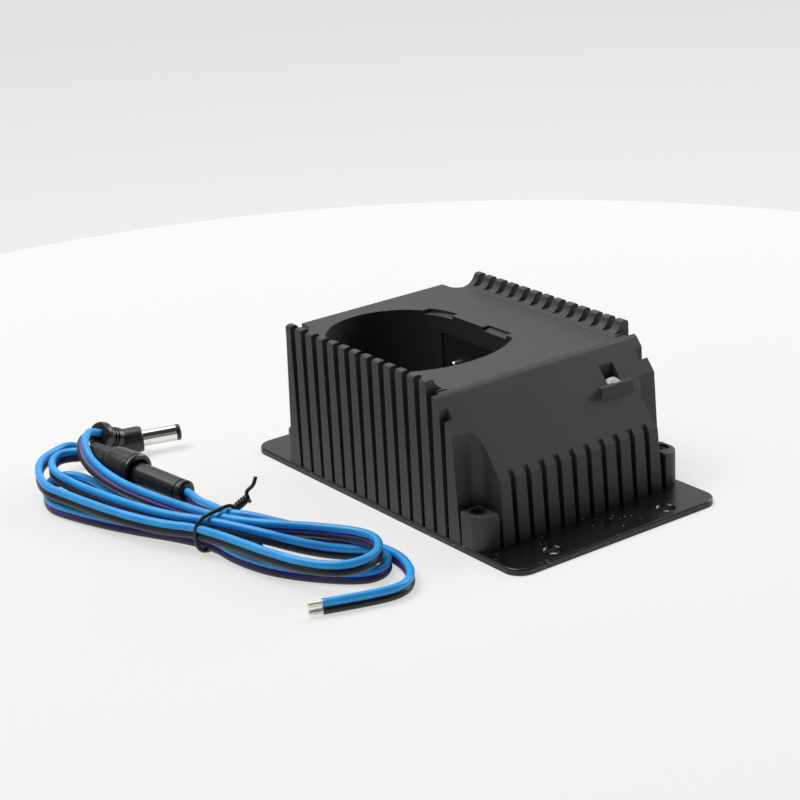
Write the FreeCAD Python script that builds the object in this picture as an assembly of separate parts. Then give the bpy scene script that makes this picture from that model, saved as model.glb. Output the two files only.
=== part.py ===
import FreeCAD, Part
import math
import os

# Lamp battery charger: a ribbed moulded housing on a flanged base plate, with a well that a
# hand lamp stands in, two sprung contacts, a status lamp, a small circuit board and a loose
# twin supply lead with an in-line fuse holder. Millimetres, +Z up, front (the slope) at -Y,
# origin at the middle of the base plate's underside.

os.makedirs("parts", exist_ok=True)
V = FreeCAD.Vector
UP = V(0, 0, 1)

# Base plate
PLATE_WIDTH = 81.4
PLATE_LENGTH = 140.2
PLATE_THICKNESS = 2.1
PLATE_CORNER = 6.0
PLATE_EDGE_ROUND = 0.6
FLANGE_HOLE_R = 2.5
FLANGE_HOLE_X = PLATE_WIDTH / 2 - 18.0
FLANGE_HOLE_Y = PLATE_LENGTH / 2 - 5.5
FLANGE_REACH = 16.9
SIDE_LEDGE = 0.4

# Housing outline
BASE_Z = PLATE_THICKNESS
HOUSING_HALF_WIDTH = PLATE_WIDTH / 2 - SIDE_LEDGE
FRONT_Y = FLANGE_REACH - PLATE_LENGTH / 2
BACK_Y = -FRONT_Y
BACK_LEAN = 0.3
TOP_Z = 46.5
FRONT_DRAFT = 0.06
CREASE_Z = 22.3
RIDGE_Y = FRONT_Y + 20.8
RIDGE_ROUND = 3.0
WALL = 2.0

# Combs of fins along both sides and below the slope
FIN_PITCH = 6.0
FIRST_SLOT_Y = BACK_Y - 11.75
LAST_SLOT_Y = FRONT_Y + 16.65
SIDE_SLOTS = 1 + int((FIRST_SLOT_Y - LAST_SLOT_Y + 0.01) / FIN_PITCH)
FIN_DEPTH = 3.0
SLOT_FOOT_HALF = 0.8
SLOT_DRAFT = 0.0115
FRONT_SLOT_PITCH = 5.92
FRONT_SLOTS = 1 + int((2 * HOUSING_HALF_WIDTH - 27.31) / FRONT_SLOT_PITCH)
CREST_START_X = HOUSING_HALF_WIDTH - 8.1
CREST_HOLLOW_R = 5.5
CREST_ANGLE = 67.0
CREST_INNER_R = 1.0
CREST_OUTER_R = 1.1
CREST_BACK_Y = BACK_Y - 7.8
CREST_SLOT_FLOOR = 0.35

# Screwdriver channels at the four corners, with the screw bosses at their feet
CHANNEL_WALL_X = HOUSING_HALF_WIDTH - 8.4
CHANNEL_WALL_DRAFT = 0.03
CHANNEL_CORNER_R = 3.8
FRONT_CHANNEL_Y = FRONT_Y + 10.4
FRONT_CHANNEL_DRAFT = 0.055
BACK_CHANNEL_WALL_X = CHANNEL_WALL_X
BACK_CHANNEL_WALL_DRAFT = 0.062
BACK_CHANNEL_Y = BACK_Y - 5.8
BACK_CHANNEL_DRAFT = 0.045
BOSS_TOP_Z = 13.3
BOSS_CORNER_R = 5.0
BOSS_GAP = 1.5
BOSS_EDGE_ROUND = 0.5
BACK_BOSS_REACH = -1.4
FRONT_SCREW = (HOUSING_HALF_WIDTH - 3.7, FRONT_Y + 5.8)
BACK_SCREW = (HOUSING_HALF_WIDTH - 3.9, BACK_Y - 5.1)
SCREW_R = 1.25
SCREW_HEAD_R = 2.35
SCREW_HEAD_HEIGHT = 1.7
SCREW_HEAD_SINK = 0.5
HEAD_CLEARANCE = 0.2
SHANK_CLEARANCE = 0.15

# Lamp well: a straight-sided recess with a round back end and a flatter front end
WELL_LEFT_X = 5.0 - HOUSING_HALF_WIDTH
WELL_RIGHT_X = HOUSING_HALF_WIDTH - 29.9
WELL_BACK_CENTRE_Y = BACK_Y - 7.05 - (WELL_RIGHT_X - WELL_LEFT_X) / 2
WELL_FRONT_CORNER_Y = WELL_BACK_CENTRE_Y - 31.3
WELL_FRONT_RISE = 7.8
WELL_CORNER_R = 2.0
WELL_FLOOR_Z = 8.1
WELL_WALL = 1.6
WELL_RIM_ROUND = 0.6
RIM_NOTCH_DEPTH = 2.5
RIM_NOTCH_DROP = 1.3
RIM_NOTCH_SHELF = 0.75
RIM_NOTCH_LENGTH = 11.6
RIM_NOTCH_OFFSET = 13.9
CONTACT_MID_Y = BACK_Y - 37.9

# Status lamp on its shelf in the slope
SHELF_Z = 36.95
SHELF_X0 = HOUSING_HALF_WIDTH - 23.9
SHELF_X1 = HOUSING_HALF_WIDTH - 11.1
SHELF_FRONT_Y = FRONT_Y + 9.9
SHELF_FOOT_Z = 33.0
LAMP_NICHE_X0 = HOUSING_HALF_WIDTH - 19.1
LAMP_NICHE_X1 = HOUSING_HALF_WIDTH - 13.6
LAMP_NICHE_Y = RIDGE_Y - 4.0
LAMP_X = HOUSING_HALF_WIDTH - 16.6
LAMP_Y = RIDGE_Y - 7.2
LAMP_R = 2.5
LAMP_PROUD = 1.1
LAMP_CLEARANCE = 0.1

# Contact block and its two sprung pins, which slide along X
BLOCK_Y_HALF = 13.4
BLOCK_Z0 = 12.0
BLOCK_Z1 = 39.5
BLOCK_PROUD = 0.2
BLOCK_DEPTH = 10.0
BLOCK_GAP = 0.15
BLOCK_LIP = 1.5
PIN_Z = 30.0
PIN_SPACING = 13.2
PIN_R = 1.4
PIN_CLEARANCE = 0.06
PIN_PROUD = 2.0
PIN_FLANGE_R = 2.2
PIN_FLANGE_THICKNESS = 1.0
PIN_TRAVEL = 1.8
CHAMBER_R = 2.45
CHAMBER_FRONT_WALL = 1.9
SPRING_WIRE = 0.4
SPRING_R = 1.7
SPRING_TURNS = 4
TERMINAL_THICKNESS = 0.6
TERMINAL_R = 2.4

# Circuit board in the space beside the well
BOARD_X0 = HOUSING_HALF_WIDTH - 25.7
BOARD_X1 = HOUSING_HALF_WIDTH - 5.9
BOARD_Y0 = FRONT_Y + 9.7
BOARD_Y1 = BACK_Y - 6.2
BOARD_LENGTH = BOARD_Y1 - BOARD_Y0
BOARD_Z = 5.2
BOARD_THICKNESS = 1.6
POST_R = 2.6
BOARD_SCREW_R = 1.0
BOARD_SCREW_HEAD_R = 1.9
BOARD_SCREW_HEAD = 1.3
BOARD_SCREW_LENGTH = 6.0
BOARD_POSTS = tuple((x, y) for x in (BOARD_X0 + 3.4, BOARD_X1 - 3.2) for y in (BOARD_Y0 + 9.0, BOARD_Y1 - 16.0))

# Supply socket at the back, and the lead's barrel plug that fits it
BARREL_R = 2.75
BARREL_BORE_R = 1.05
BARREL_LENGTH = 13.2
SOCKET_PIN_R = 1.0
SOCKET_CLEARANCE = 0.15
JACK_X = HOUSING_HALF_WIDTH - 16.8
JACK_WIDTH = 9.0
JACK_LENGTH = 14.0
JACK_HEIGHT = 11.0
JACK_AXIS = 6.3
JACK_BORE_DEPTH = 9.6
JACK_RECESS = 2.0
SOCKET_HOLE_R = 5.0


# Small parts of the base plate, the block, the status lamp and the board
FLANGE_RIM = 0.5
PILLAR_R = 2.1
PILLAR_TOP = 6.0
PILLAR_CLEARANCE = 0.1
SCREW_TIP_Z = 0.7
THREAD_GAP = 0.02
SCREW_PLACES = tuple((s * x, y) for x, y in ((FRONT_SCREW[0], FRONT_SCREW[1]), (BACK_SCREW[0], BACK_SCREW[1]))
                     for s in (-1, 1))
WALL_SEAT_GAP = 0.02
CHAMBER_LENGTH = 7.6
TERMINAL_FIT = 0.02
TERMINAL_TAIL = 3.0
LAMP_BODY = 8.6
LAMP_COLLAR_R = 2.9
LAMP_COLLAR = 1.0
LEAD_PITCH = 2.54
LEAD_WIRE = 0.5
LEAD_STUB = 0.6
BOARD_NOTCH_X = BOARD_X1 - 6.8
BOARD_NOTCH_FRONT = BOARD_Y0 + 5.9
BOARD_NOTCH_BACK = BOARD_Y1 - 3.4
PIN_ROOT = 3.0
PIN_SET_BACK = 0.6
CAP_IN = (BOARD_X1 - 3.4, BOARD_Y1 - 26.5)
CAP_OUT = (BOARD_X1 - 3.8, BOARD_Y0 + 0.547 * BOARD_LENGTH)
CAP_IN_SIZE = (3.6, 12.0)
CAP_OUT_SIZE = (3.15, 11.0)
CAP_BEAD = 0.35
INDUCTOR_AT = (BOARD_X1 - 7.4, BOARD_Y0 + 0.348 * BOARD_LENGTH)
INDUCTOR_R = 4.6
CHIP_AT = (BOARD_X0 + 5.4, BOARD_Y0 + 0.2155 * BOARD_LENGTH)
TRANSISTOR_AT = (BOARD_X0 + 4.0, BOARD_Y0 + 0.326 * BOARD_LENGTH)
DIODES_AT = tuple((BOARD_X1 - 2.0, BOARD_Y0 + share * BOARD_LENGTH) for share in (0.4033, 0.2376))
DIODE_LEG_Y = 4.6
INNER_WIRE_R = 0.8

# The twin lead: two conductors side by side, standing on edge
LEAD_WIDTH = 2.5
LEAD_HEIGHT = 4.9
LAYER_LOW = 4.0
LAYER_HIGH = 9.6

# The angled plug: where its cord enters, where head and arm meet, and the barrel's tip
PLUG_CORD_END = (-86.4, 94.4, 11.0)
PLUG_ELBOW = (-79.9, 98.4, 4.9)
PLUG_TIP = (-57.3, 90.2, 5.6)
HEAD_R = 4.3
NECK_R = 3.3
NECK_SLOTS = 3
ARM_R = 4.55
BARREL_ROOT = 5.0
BARREL_ROOT_R = 2.3
TIP_LENGTH = 1.6

# The fuse holder, along one axis from the cap's end through its mouth to the body's end
FUSE_MOUTH = (-88.5, 64.8, 6.7)
FUSE_BODY_END = (-83.3, 43.3, 4.6)
CAP_LENGTH = 21.5
COLLAR_LENGTH = 12.5
GRIP_END_R = 3.0
GRIP_R = 4.2
GRIP_GROOVES = 6
COLLAR_R = 6.5
SOCKET_DEPTH = 6.0
BODY_R = 4.0
CAP_CLEARANCE = 0.1
PIP_R = 0.5
PIP_PROUD = 0.5
PIP_BACK = 1.7
LEAD_SEAT = 1.2
LEAD_SEAT_GAP = 0.2
FUSE_R = 2.6
FUSE_LENGTH = 20.0
FUSE_WIRE = 0.6
FUSE_TURNS = 3

# The hank: where its runs cross the tie, and its turns
TIE_AT = (-93.4, 9.0)
TIE_ACROSS = (0.992, 0.13)
SLOT_PLUG = 1.5
SLOT_FUSE = 4.7
FLOOR_RUN = 2.7
UPPER_RUN = 8.3
PLUG_STRETCH = ((-86.4, 94.4, 11.0), (-89.0, 92.8, 13.6), (-93.2, 90.4, 14.9), (-97.2, 86.0, 14.3),
                (-99.5, 77.5, 10.8), (-99.8, 62.0, 9.2), (-97.6, 44.0, 8.9), (-95.0, 27.0, 9.2))
# Each turn: the leg in, the bend (centre, radius, first angle, sweep, heights), the leg out,
# and the slot and layer at the tie that it ends in
SUPPLY_TURNS = (
    (((-85.6, -3.4, 9.0), (-74.0, -15.2, UPPER_RUN)), ((-76.0, -33.0), 11.4, 26, -187, UPPER_RUN, UPPER_RUN),
     ((-93.7, -25.5, UPPER_RUN),), -4.7, LAYER_HIGH),
    (((-105.2, 20.5, 9.2), (-112.8, 38.0, 8.5), (-116.9, 62.0, UPPER_RUN)),
     ((-103.5, 88.2), 11.4, 185, -197, UPPER_RUN, FLOOR_RUN),
     ((-96.3, 77.0, FLOOR_RUN), (-96.6, 62.0, FLOOR_RUN), (-94.9, 43.0, FLOOR_RUN), (-92.5, 28.0, 3.0)),
     3.2, LAYER_LOW),
    (((-88.4, 0.0, 3.1),), ((-90.5, -5.2), 2.1, 0, -180, FLOOR_RUN, FLOOR_RUN), ((-92.7, 0.0, 3.1),),
     0.1, LAYER_LOW),
    (((-95.8, 28.0, 3.0), (-98.2, 43.0, FLOOR_RUN), (-99.8, 60.0, FLOOR_RUN)),
     ((-109.2, 75.5), 9.1, 0, 180, FLOOR_RUN, FLOOR_RUN),
     ((-116.8, 60.0, FLOOR_RUN), (-109.6, 40.0, FLOOR_RUN)), -3.1, LAYER_LOW),
    (((-96.4, -7.0, FLOOR_RUN), (-92.0, -24.0, FLOOR_RUN)), ((-71.0, -36.0), 9.0, 220, 180, FLOOR_RUN, FLOOR_RUN),
     ((-71.3, -23.4, 2.8), (-79.6, -16.6, 5.0), (-88.3, -7.2, 8.3)), -1.6, LAYER_HIGH),
    (((-101.3, 27.0, 9.2), (-108.2, 52.0, UPPER_RUN)), ((-102.3, 83.6), 9.0, 186, -171, UPPER_RUN, 8.73),
     (), None, None),
)
FUSE_STRETCH = ((-83.3, 43.3, 4.6), (-84.9, 33.0, 6.2), (-87.2, 21.0, 8.6))
TAIL_STRETCH = ((-84.6, 3.4, 9.2), (-78.8, -4.4, 7.4), (-69.0, -15.2, 4.2), (-61.2, -26.0, FLOOR_RUN),
                (-58.6, -37.0, FLOOR_RUN), (-61.0, -46.5, FLOOR_RUN), (-66.0, -54.0, FLOOR_RUN),
                (-73.5, -57.6, FLOOR_RUN), (-85.3, -54.4, FLOOR_RUN), (-95.8, -50.5, FLOOR_RUN))
# The twin sheath's eight-sided outline, in half widths and half heights
LEAD_SECTION = ((1, -0.55), (1, 0.55), (0.45, 1), (-0.45, 1), (-1, 0.55), (-1, -0.55), (-0.45, -1), (0.45, -1))
BARE_R = 0.9
BARE_LENGTH = 4.2
BARE_SEAT = 1.0

# The twist tie
TIE_MID_Z = 6.8
TIE_HALF_WIDTH = 7.0
TIE_HALF_HEIGHT = 6.1
TIE_SKEW = 3.0
TIE_STOPS = 12
TIE_OPENING = 24
TIE_WIRE_R = 0.65
TIE_TWIST_R = 0.75
TIE_TWISTS = 2
TIE_KNOT = (-83.6, 10.2, 11.2)
TIE_KNOT_END = (-78.6, 11.6, 13.2)
TIE_FREE_END = ((-77.4, 12.3, 15.2), (-75.2, 12.0, 18.0))


def box(x0, x1, y0, y1, z0, z1):
    """An upright box between two corners."""
    return Part.makeBox(x1 - x0, y1 - y0, z1 - z0, V(x0, y0, z0))


def rod(r, length, start, along):
    """A round rod from start along a direction."""
    return Part.makeCylinder(r, length, V(*start), V(*along))


def face_of(edges_or_points):
    """A flat face from a closed wire of edges, or from corner points."""
    first = edges_or_points[0]
    if isinstance(first, (tuple, FreeCAD.Vector)):
        points = [V(*p) for p in edges_or_points]
        return Part.Face(Part.makePolygon(points + points[:1]))
    return Part.Face(Part.Wire(edges_or_points))


def line(a, b):
    """A straight edge."""
    return Part.LineSegment(V(*a), V(*b)).toShape()


def arc(a, middle, b):
    """A round edge through three points."""
    return Part.Arc(V(*a), V(*middle), V(*b)).toShape()


def wire_ring(r, start, ahead):
    """A six-sided outline for a thin wire, square to its direction."""
    ahead = V(ahead)
    ahead.normalize()
    side = ahead.cross(UP)
    side.normalize()
    up = side.cross(ahead)
    corners = [start + side * (r * math.cos(math.radians(60 * i))) + up * (r * math.sin(math.radians(60 * i)))
               for i in range(6)]
    return Part.makePolygon(corners + corners[:1])


def mirrored(shape):
    """The same shape on the other side of the X = 0 plane."""
    return shape.mirror(V(0, 0, 0), V(1, 0, 0))


def joined(shapes):
    """One solid from several that meet."""
    whole = shapes[0].multiFuse(shapes[1:]) if len(shapes) > 1 else shapes[0]
    return whole.removeSplitter()


def rounded(shape, radius, chosen):
    """Rounds the edges that a test chooses."""
    edges = [e for e in shape.Edges if chosen(e)]
    return shape.makeFillet(radius, edges) if edges else shape


def near(a, b, tolerance=0.01):
    """Whether two lengths are the same."""
    return abs(a - b) < tolerance


def upright_edge_at(x, y, tolerance=0.05):
    """A test for the upright edge over one place."""
    def chosen(edge):
        ends = [v.Point for v in edge.Vertexes]
        return len(ends) == 2 and all(near(p.x, x, tolerance) and near(p.y, y, tolerance) for p in ends)
    return chosen


def write(name, shape):
    """Writes one node and prints what it holds."""
    solids = shape.Solids
    assert solids and all(s.isValid() for s in solids), name
    out = solids[0] if len(solids) == 1 else Part.makeCompound(solids)
    out.exportStep("parts/%s.step" % name)
    low, high = out.BoundBox, out.BoundBox
    print("%-22s %2d %10.2f mm3  %7.2f %7.2f %7.2f  %7.2f %7.2f %7.2f" % (
        name, len(solids), out.Volume, low.XMin, low.YMin, low.ZMin, high.XMax, high.YMax, high.ZMax))
    return out


# Where the slope lies, from the crease above the front fins to the ridge
CREASE_Y = FRONT_Y + FRONT_DRAFT * (CREASE_Z - BASE_Z)
SLOPE_RUN = RIDGE_Y - CREASE_Y
SLOPE_RISE = TOP_Z - CREASE_Z
SLOPE_LENGTH = math.hypot(SLOPE_RUN, SLOPE_RISE)


def slope_y(z):
    """The slope's place along Y at a height."""
    return CREASE_Y + SLOPE_RUN * (z - CREASE_Z) / SLOPE_RISE


def housing_profile(hollow):
    """The housing's outline seen from the side, or the outline of its hollow."""
    if not hollow:
        return [(0, FRONT_Y, BASE_Z), (0, CREASE_Y, CREASE_Z), (0, RIDGE_Y, TOP_Z),
                (0, BACK_Y - BACK_LEAN, TOP_Z), (0, BACK_Y, BASE_Z)]
    front = FRONT_Y + FIN_DEPTH + WALL
    drop = WALL * SLOPE_LENGTH / SLOPE_RUN
    rate = SLOPE_RISE / SLOPE_RUN
    top = TOP_Z - WALL
    knee = CREASE_Z + (front - CREASE_Y) * rate - drop
    ridge = CREASE_Y + (top + drop - CREASE_Z) / rate
    return [(0, front, BASE_Z - 1), (0, front, knee), (0, ridge, top),
            (0, BACK_Y - BACK_LEAN - WALL, top), (0, BACK_Y - BACK_LEAN - WALL, BASE_Z - 1)]


def block_between(half_width, hollow=False):
    """The housing's plain block, or the block of its hollow."""
    face = face_of([(-half_width, y, z) for _, y, z in housing_profile(hollow)])
    return face.extrude(V(2 * half_width, 0, 0))


def crest_rail():
    """The raised crest on the right side, hollow on its inner face and round on top."""
    turn = math.radians(CREST_ANGLE)
    half = turn / 2
    foot = (CREST_START_X, TOP_Z)
    centre = (foot[0], TOP_Z + CREST_HOLLOW_R)

    def on_hollow(angle):
        return (centre[0] + CREST_HOLLOW_R * math.sin(angle), centre[1] - CREST_HOLLOW_R * math.cos(angle))

    end = on_hollow(turn)
    cap = (end[0] + CREST_INNER_R * math.sin(turn), end[1] - CREST_INNER_R * math.cos(turn))

    def on_cap(angle):
        return (cap[0] - CREST_INNER_R * math.sin(angle), cap[1] + CREST_INNER_R * math.cos(angle))

    crest = cap[1] + CREST_INNER_R
    corner = HOUSING_HALF_WIDTH - CREST_OUTER_R
    diagonal = CREST_OUTER_R * math.sqrt(0.5)
    low = TOP_Z - WALL / 2
    y = FIRST_SLOT_Y - (SIDE_SLOTS - 2) * FIN_PITCH

    def at(p):
        return (p[0], y, p[1])

    edges = [
        line(at((foot[0], low)), at(foot)),
        arc(at(foot), at(on_hollow(half)), at(end)),
        arc(at(end), at(on_cap(half)), at((cap[0], crest))),
        line(at((cap[0], crest)), at((corner, crest))),
        arc(at((corner, crest)), at((corner + diagonal, crest - CREST_OUTER_R + diagonal)),
            at((HOUSING_HALF_WIDTH, crest - CREST_OUTER_R))),
        line(at((HOUSING_HALF_WIDTH, crest - CREST_OUTER_R)), at((HOUSING_HALF_WIDTH, low))),
        line(at((HOUSING_HALF_WIDTH, low)), at((foot[0], low))),
    ]
    return face_of(edges).extrude(V(0, CREST_BACK_Y - y, 0))


def side_slot(y):
    """One tapered slot between two side fins, on the right."""
    reach = TOP_Z + 2 * CREST_HOLLOW_R
    wide = SLOT_FOOT_HALF + SLOT_DRAFT * (reach - BASE_Z)
    root = HOUSING_HALF_WIDTH - FIN_DEPTH
    low = BASE_Z - 1
    face = face_of([
        (root, y - SLOT_FOOT_HALF, low), (root, y + SLOT_FOOT_HALF, low),
        (root, y + wide, reach), (root, y - wide, reach)])
    return face.extrude(V(FIN_DEPTH + 1, 0, 0))


def crest_slot(y):
    """The same slot where it runs on through the crest, down to just above the top."""
    low, reach = TOP_Z + CREST_SLOT_FLOOR, TOP_Z + 2 * CREST_HOLLOW_R
    half, wide = (SLOT_FOOT_HALF + SLOT_DRAFT * (z - BASE_Z) for z in (low, reach))
    face = face_of([
        (CREST_START_X, y - half, low), (CREST_START_X, y + half, low),
        (CREST_START_X, y + wide, reach), (CREST_START_X, y - wide, reach)])
    return face.extrude(V(HOUSING_HALF_WIDTH - CREST_START_X, 0, 0))


def front_slot(x):
    """One tapered slot between two front fins; its floor runs out into the slope."""
    wide = SLOT_FOOT_HALF + SLOT_DRAFT * (TOP_Z - BASE_Z)
    floor = FRONT_Y + FIN_DEPTH
    low = BASE_Z - 1
    face = face_of([
        (x - SLOT_FOOT_HALF, floor, low), (x + SLOT_FOOT_HALF, floor, low),
        (x + wide, floor, TOP_Z), (x - wide, floor, TOP_Z)])
    return face.extrude(V(0, -FIN_DEPTH - 1, 0))


def channel(back, grown=0.0):
    """The space of one right-hand screwdriver channel, or of its wall's far side."""
    wall_x = (BACK_CHANNEL_WALL_X if back else CHANNEL_WALL_X) - grown
    wall_draft = BACK_CHANNEL_WALL_DRAFT if back else CHANNEL_WALL_DRAFT
    side = 1 if back else -1
    end_y = (BACK_CHANNEL_Y if back else FRONT_CHANNEL_Y) - side * grown
    end_draft = side * (BACK_CHANNEL_DRAFT if back else FRONT_CHANNEL_DRAFT)
    out_x = HOUSING_HALF_WIDTH + WALL
    out_y = BACK_Y + WALL if back else FRONT_Y - WALL
    low, high = BASE_Z - 1, TOP_Z + 1

    def wall_at(z):
        return wall_x - wall_draft * (z - BASE_Z)

    def end_at(z):
        return end_y - end_draft * (z - BASE_Z)

    across = face_of([(wall_at(low), 0, low), (out_x, 0, low), (out_x, 0, high), (wall_at(high), 0, high)])
    along = face_of([(0, end_at(low), low), (0, out_y, low), (0, out_y, high), (0, end_at(high), high)])
    space = across.extrude(V(0, side * 2 * BACK_Y, 0)).common(along.extrude(V(2 * out_x, 0, 0)))
    corners = ((wall_at(low), end_at(low)), (wall_at(high), end_at(high)))
    return rounded(space, CHANNEL_CORNER_R + grown, lambda e: all(
        any(near(v.X, x) and near(v.Y, y) for x, y in corners) for v in e.Vertexes))


def boss(back):
    """One right-hand screw boss: an upright post with one large round corner."""
    x0 = CHANNEL_WALL_X if back else CHANNEL_WALL_X + BOSS_GAP
    x1 = HOUSING_HALF_WIDTH
    y0 = BACK_CHANNEL_Y - WALL / 2 if back else FRONT_CHANNEL_Y - BOSS_GAP / 2
    y1 = BACK_Y + BACK_BOSS_REACH if back else FRONT_Y
    post = box(x0, x1, min(y0, y1), max(y0, y1), BASE_Z, BOSS_TOP_Z)
    post = rounded(post, BOSS_CORNER_R, upright_edge_at(x1, y1))
    return rounded(post, BOSS_EDGE_ROUND, lambda e: all(near(v.Z, BOSS_TOP_Z) for v in e.Vertexes))


def screw_bore(place):
    """The hole of one housing screw: shank and sunk head."""
    x, y = place
    shank = rod(SCREW_R + SHANK_CLEARANCE, BOSS_TOP_Z, (x, y, 0.5), (0, 0, 1))
    seat = BOSS_TOP_Z - SCREW_HEAD_SINK - SCREW_HEAD_HEIGHT
    head = rod(SCREW_HEAD_R + HEAD_CLEARANCE, BOSS_TOP_Z, (x, y, seat), (0, 0, 1))
    return shank.fuse(head)


def well_wire(grown, z):
    """The lamp well's outline: straight sides, a round back and a flatter front."""
    x0, x1 = WELL_LEFT_X - grown, WELL_RIGHT_X + grown
    middle = (x0 + x1) / 2
    back_y = WELL_BACK_CENTRE_Y
    front_y = WELL_FRONT_CORNER_Y - grown / 2
    tip = WELL_FRONT_CORNER_Y - WELL_FRONT_RISE - grown
    return Part.Wire([
        line((x0, front_y, z), (x0, back_y, z)),
        arc((x0, back_y, z), (middle, back_y + (x1 - x0) / 2, z), (x1, back_y, z)),
        line((x1, back_y, z), (x1, front_y, z)),
        arc((x1, front_y, z), (middle, tip, z), (x0, front_y, z)),
    ])


def well_prism(grown, z0, z1):
    """The well's outline as a solid, with its two front corners rounded."""
    prism = Part.Face(well_wire(grown, z0)).extrude(V(0, 0, z1 - z0))
    front_y = WELL_FRONT_CORNER_Y - grown / 2
    return rounded(prism, WELL_CORNER_R + grown, lambda e: len(e.Vertexes) == 2 and near(
        e.Vertexes[0].X, e.Vertexes[1].X) and all(near(v.Y, front_y) for v in e.Vertexes))


def rim_notch(mid_y):
    """One catch notch in the well's right rim, with a sloping shelf below it."""
    y0, y1 = mid_y - RIM_NOTCH_LENGTH / 2, mid_y + RIM_NOTCH_LENGTH / 2
    window = box(WELL_RIGHT_X - 6 * RIM_NOTCH_DEPTH, WELL_RIGHT_X + 2 * RIM_NOTCH_DEPTH, y0, y1,
                 TOP_Z - RIM_NOTCH_DROP - 1, TOP_Z + 1)
    ring = well_prism(RIM_NOTCH_DEPTH, TOP_Z - RIM_NOTCH_DROP, TOP_Z + 1)
    notch = window.common(ring)
    ramp_low = TOP_Z - RIM_NOTCH_DROP - 0.1
    ramp = face_of([
        (WELL_RIGHT_X - 5 * RIM_NOTCH_DEPTH, y0 - 1, ramp_low),
        (WELL_RIGHT_X + 2 * RIM_NOTCH_DEPTH, y0 - 1, ramp_low),
        (WELL_RIGHT_X + 2 * RIM_NOTCH_DEPTH, y0 - 1, TOP_Z - RIM_NOTCH_SHELF + RIM_NOTCH_DROP / 2),
        (WELL_RIGHT_X + RIM_NOTCH_DEPTH, y0 - 1, TOP_Z - RIM_NOTCH_SHELF),
        (WELL_RIGHT_X, y0 - 1, ramp_low)]).extrude(V(0, RIM_NOTCH_LENGTH + 2, 0))
    return notch.cut(ramp)


def contact_window(grown):
    """The opening in the well's right wall that the contact block sits in."""
    return box(WELL_RIGHT_X - 1, WELL_RIGHT_X + WELL_WALL + 0.01,
               CONTACT_MID_Y - BLOCK_Y_HALF - grown, CONTACT_MID_Y + BLOCK_Y_HALF + grown,
               BLOCK_Z0 - grown, BLOCK_Z1 + grown)


BOARD_TOP = BOARD_Z + BOARD_THICKNESS
JACK_Z = BOARD_TOP + JACK_AXIS
JACK_FACE_Y = BACK_Y - BACK_LEAN - WALL - JACK_RECESS


def board_post(place):
    """One post that hangs from the roof and carries the board."""
    x, y = place
    roof = TOP_Z - WALL / 2
    if y < RIDGE_Y + 2 * POST_R:
        roof = CREASE_Z + SLOPE_RISE * (y - POST_R - CREASE_Y) / SLOPE_RUN - WALL / 2
    post = rod(POST_R, roof - BOARD_TOP, (x, y, BOARD_TOP), (0, 0, 1))
    pilot = rod(BOARD_SCREW_R, BOARD_SCREW_LENGTH + 1, (x, y, BOARD_TOP - 0.5), (0, 0, 1))
    return post, pilot


def build_housing():
    """The moulded housing."""
    body = block_between(HOUSING_HALF_WIDTH)
    body = rounded(body, RIDGE_ROUND, lambda e: all(
        near(v.Y, RIDGE_Y) and near(v.Z, TOP_Z) for v in e.Vertexes))
    rail = crest_rail()
    body = joined([body, rail, mirrored(rail)])
    cutters = []
    for i in range(SIDE_SLOTS):
        y = FIRST_SLOT_Y - i * FIN_PITCH
        slot = side_slot(y).fuse(crest_slot(y))
        cutters += [slot, mirrored(slot)]
    middle = (FRONT_SLOTS - 1) / 2
    cutters += [front_slot((i - middle) * FRONT_SLOT_PITCH) for i in range(FRONT_SLOTS)]
    for back in (False, True):
        space = channel(back)
        cutters += [space, mirrored(space)]
    shelf = box(SHELF_X0, SHELF_X1, SHELF_FRONT_Y, slope_y(SHELF_FOOT_Z) + WALL, SHELF_FOOT_Z, SHELF_Z)
    niche = box(LAMP_NICHE_X0, LAMP_NICHE_X1, SHELF_FRONT_Y - 1, LAMP_NICHE_Y, SHELF_Z, TOP_Z)
    body = body.cut(cutters).fuse(shelf).cut(niche)
    hollow = block_between(HOUSING_HALF_WIDTH - FIN_DEPTH - WALL, True)
    keep = [well_prism(WELL_WALL, WELL_FLOOR_Z - WALL, TOP_Z + 1),
            box(LAMP_NICHE_X0 - WALL, LAMP_NICHE_X1 + WALL, SHELF_FRONT_Y, LAMP_NICHE_Y + WALL,
                SHELF_Z - WALL, TOP_Z)]
    for back in (False, True):
        wall = channel(back, WALL)
        keep += [wall, mirrored(wall)]
    body = body.cut(hollow.cut(keep))
    notches = [rim_notch(CONTACT_MID_Y + s * RIM_NOTCH_OFFSET) for s in (-1, 1)]
    body = body.cut([well_prism(0, WELL_FLOOR_Z, TOP_Z + 8)] + notches + [contact_window(BLOCK_GAP)])
    for back in (False, True):
        post = boss(back)
        bore = screw_bore(BACK_SCREW if back else FRONT_SCREW)
        body = body.fuse([post, mirrored(post)]).cut([bore, mirrored(bore)])
    body = body.cut([rod(PILLAR_R + PILLAR_CLEARANCE, PILLAR_TOP + PILLAR_CLEARANCE - BASE_Z + 1,
                         (x, y, BASE_Z - 1), (0, 0, 1)) for x, y in SCREW_PLACES])
    posts, pilots = zip(*[board_post(p) for p in BOARD_POSTS])
    body = body.fuse(list(posts)).cut(list(pilots))
    lamp = rod(LAMP_R + LAMP_CLEARANCE, 12, (LAMP_X, LAMP_Y, SHELF_Z - 10), (0, 0, 1))
    socket = rod(SOCKET_HOLE_R, 3 * WALL, (JACK_X, BACK_Y - 2 * WALL, JACK_Z), (0, 1, 0))
    return body.cut([lamp, socket]).removeSplitter()


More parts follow.
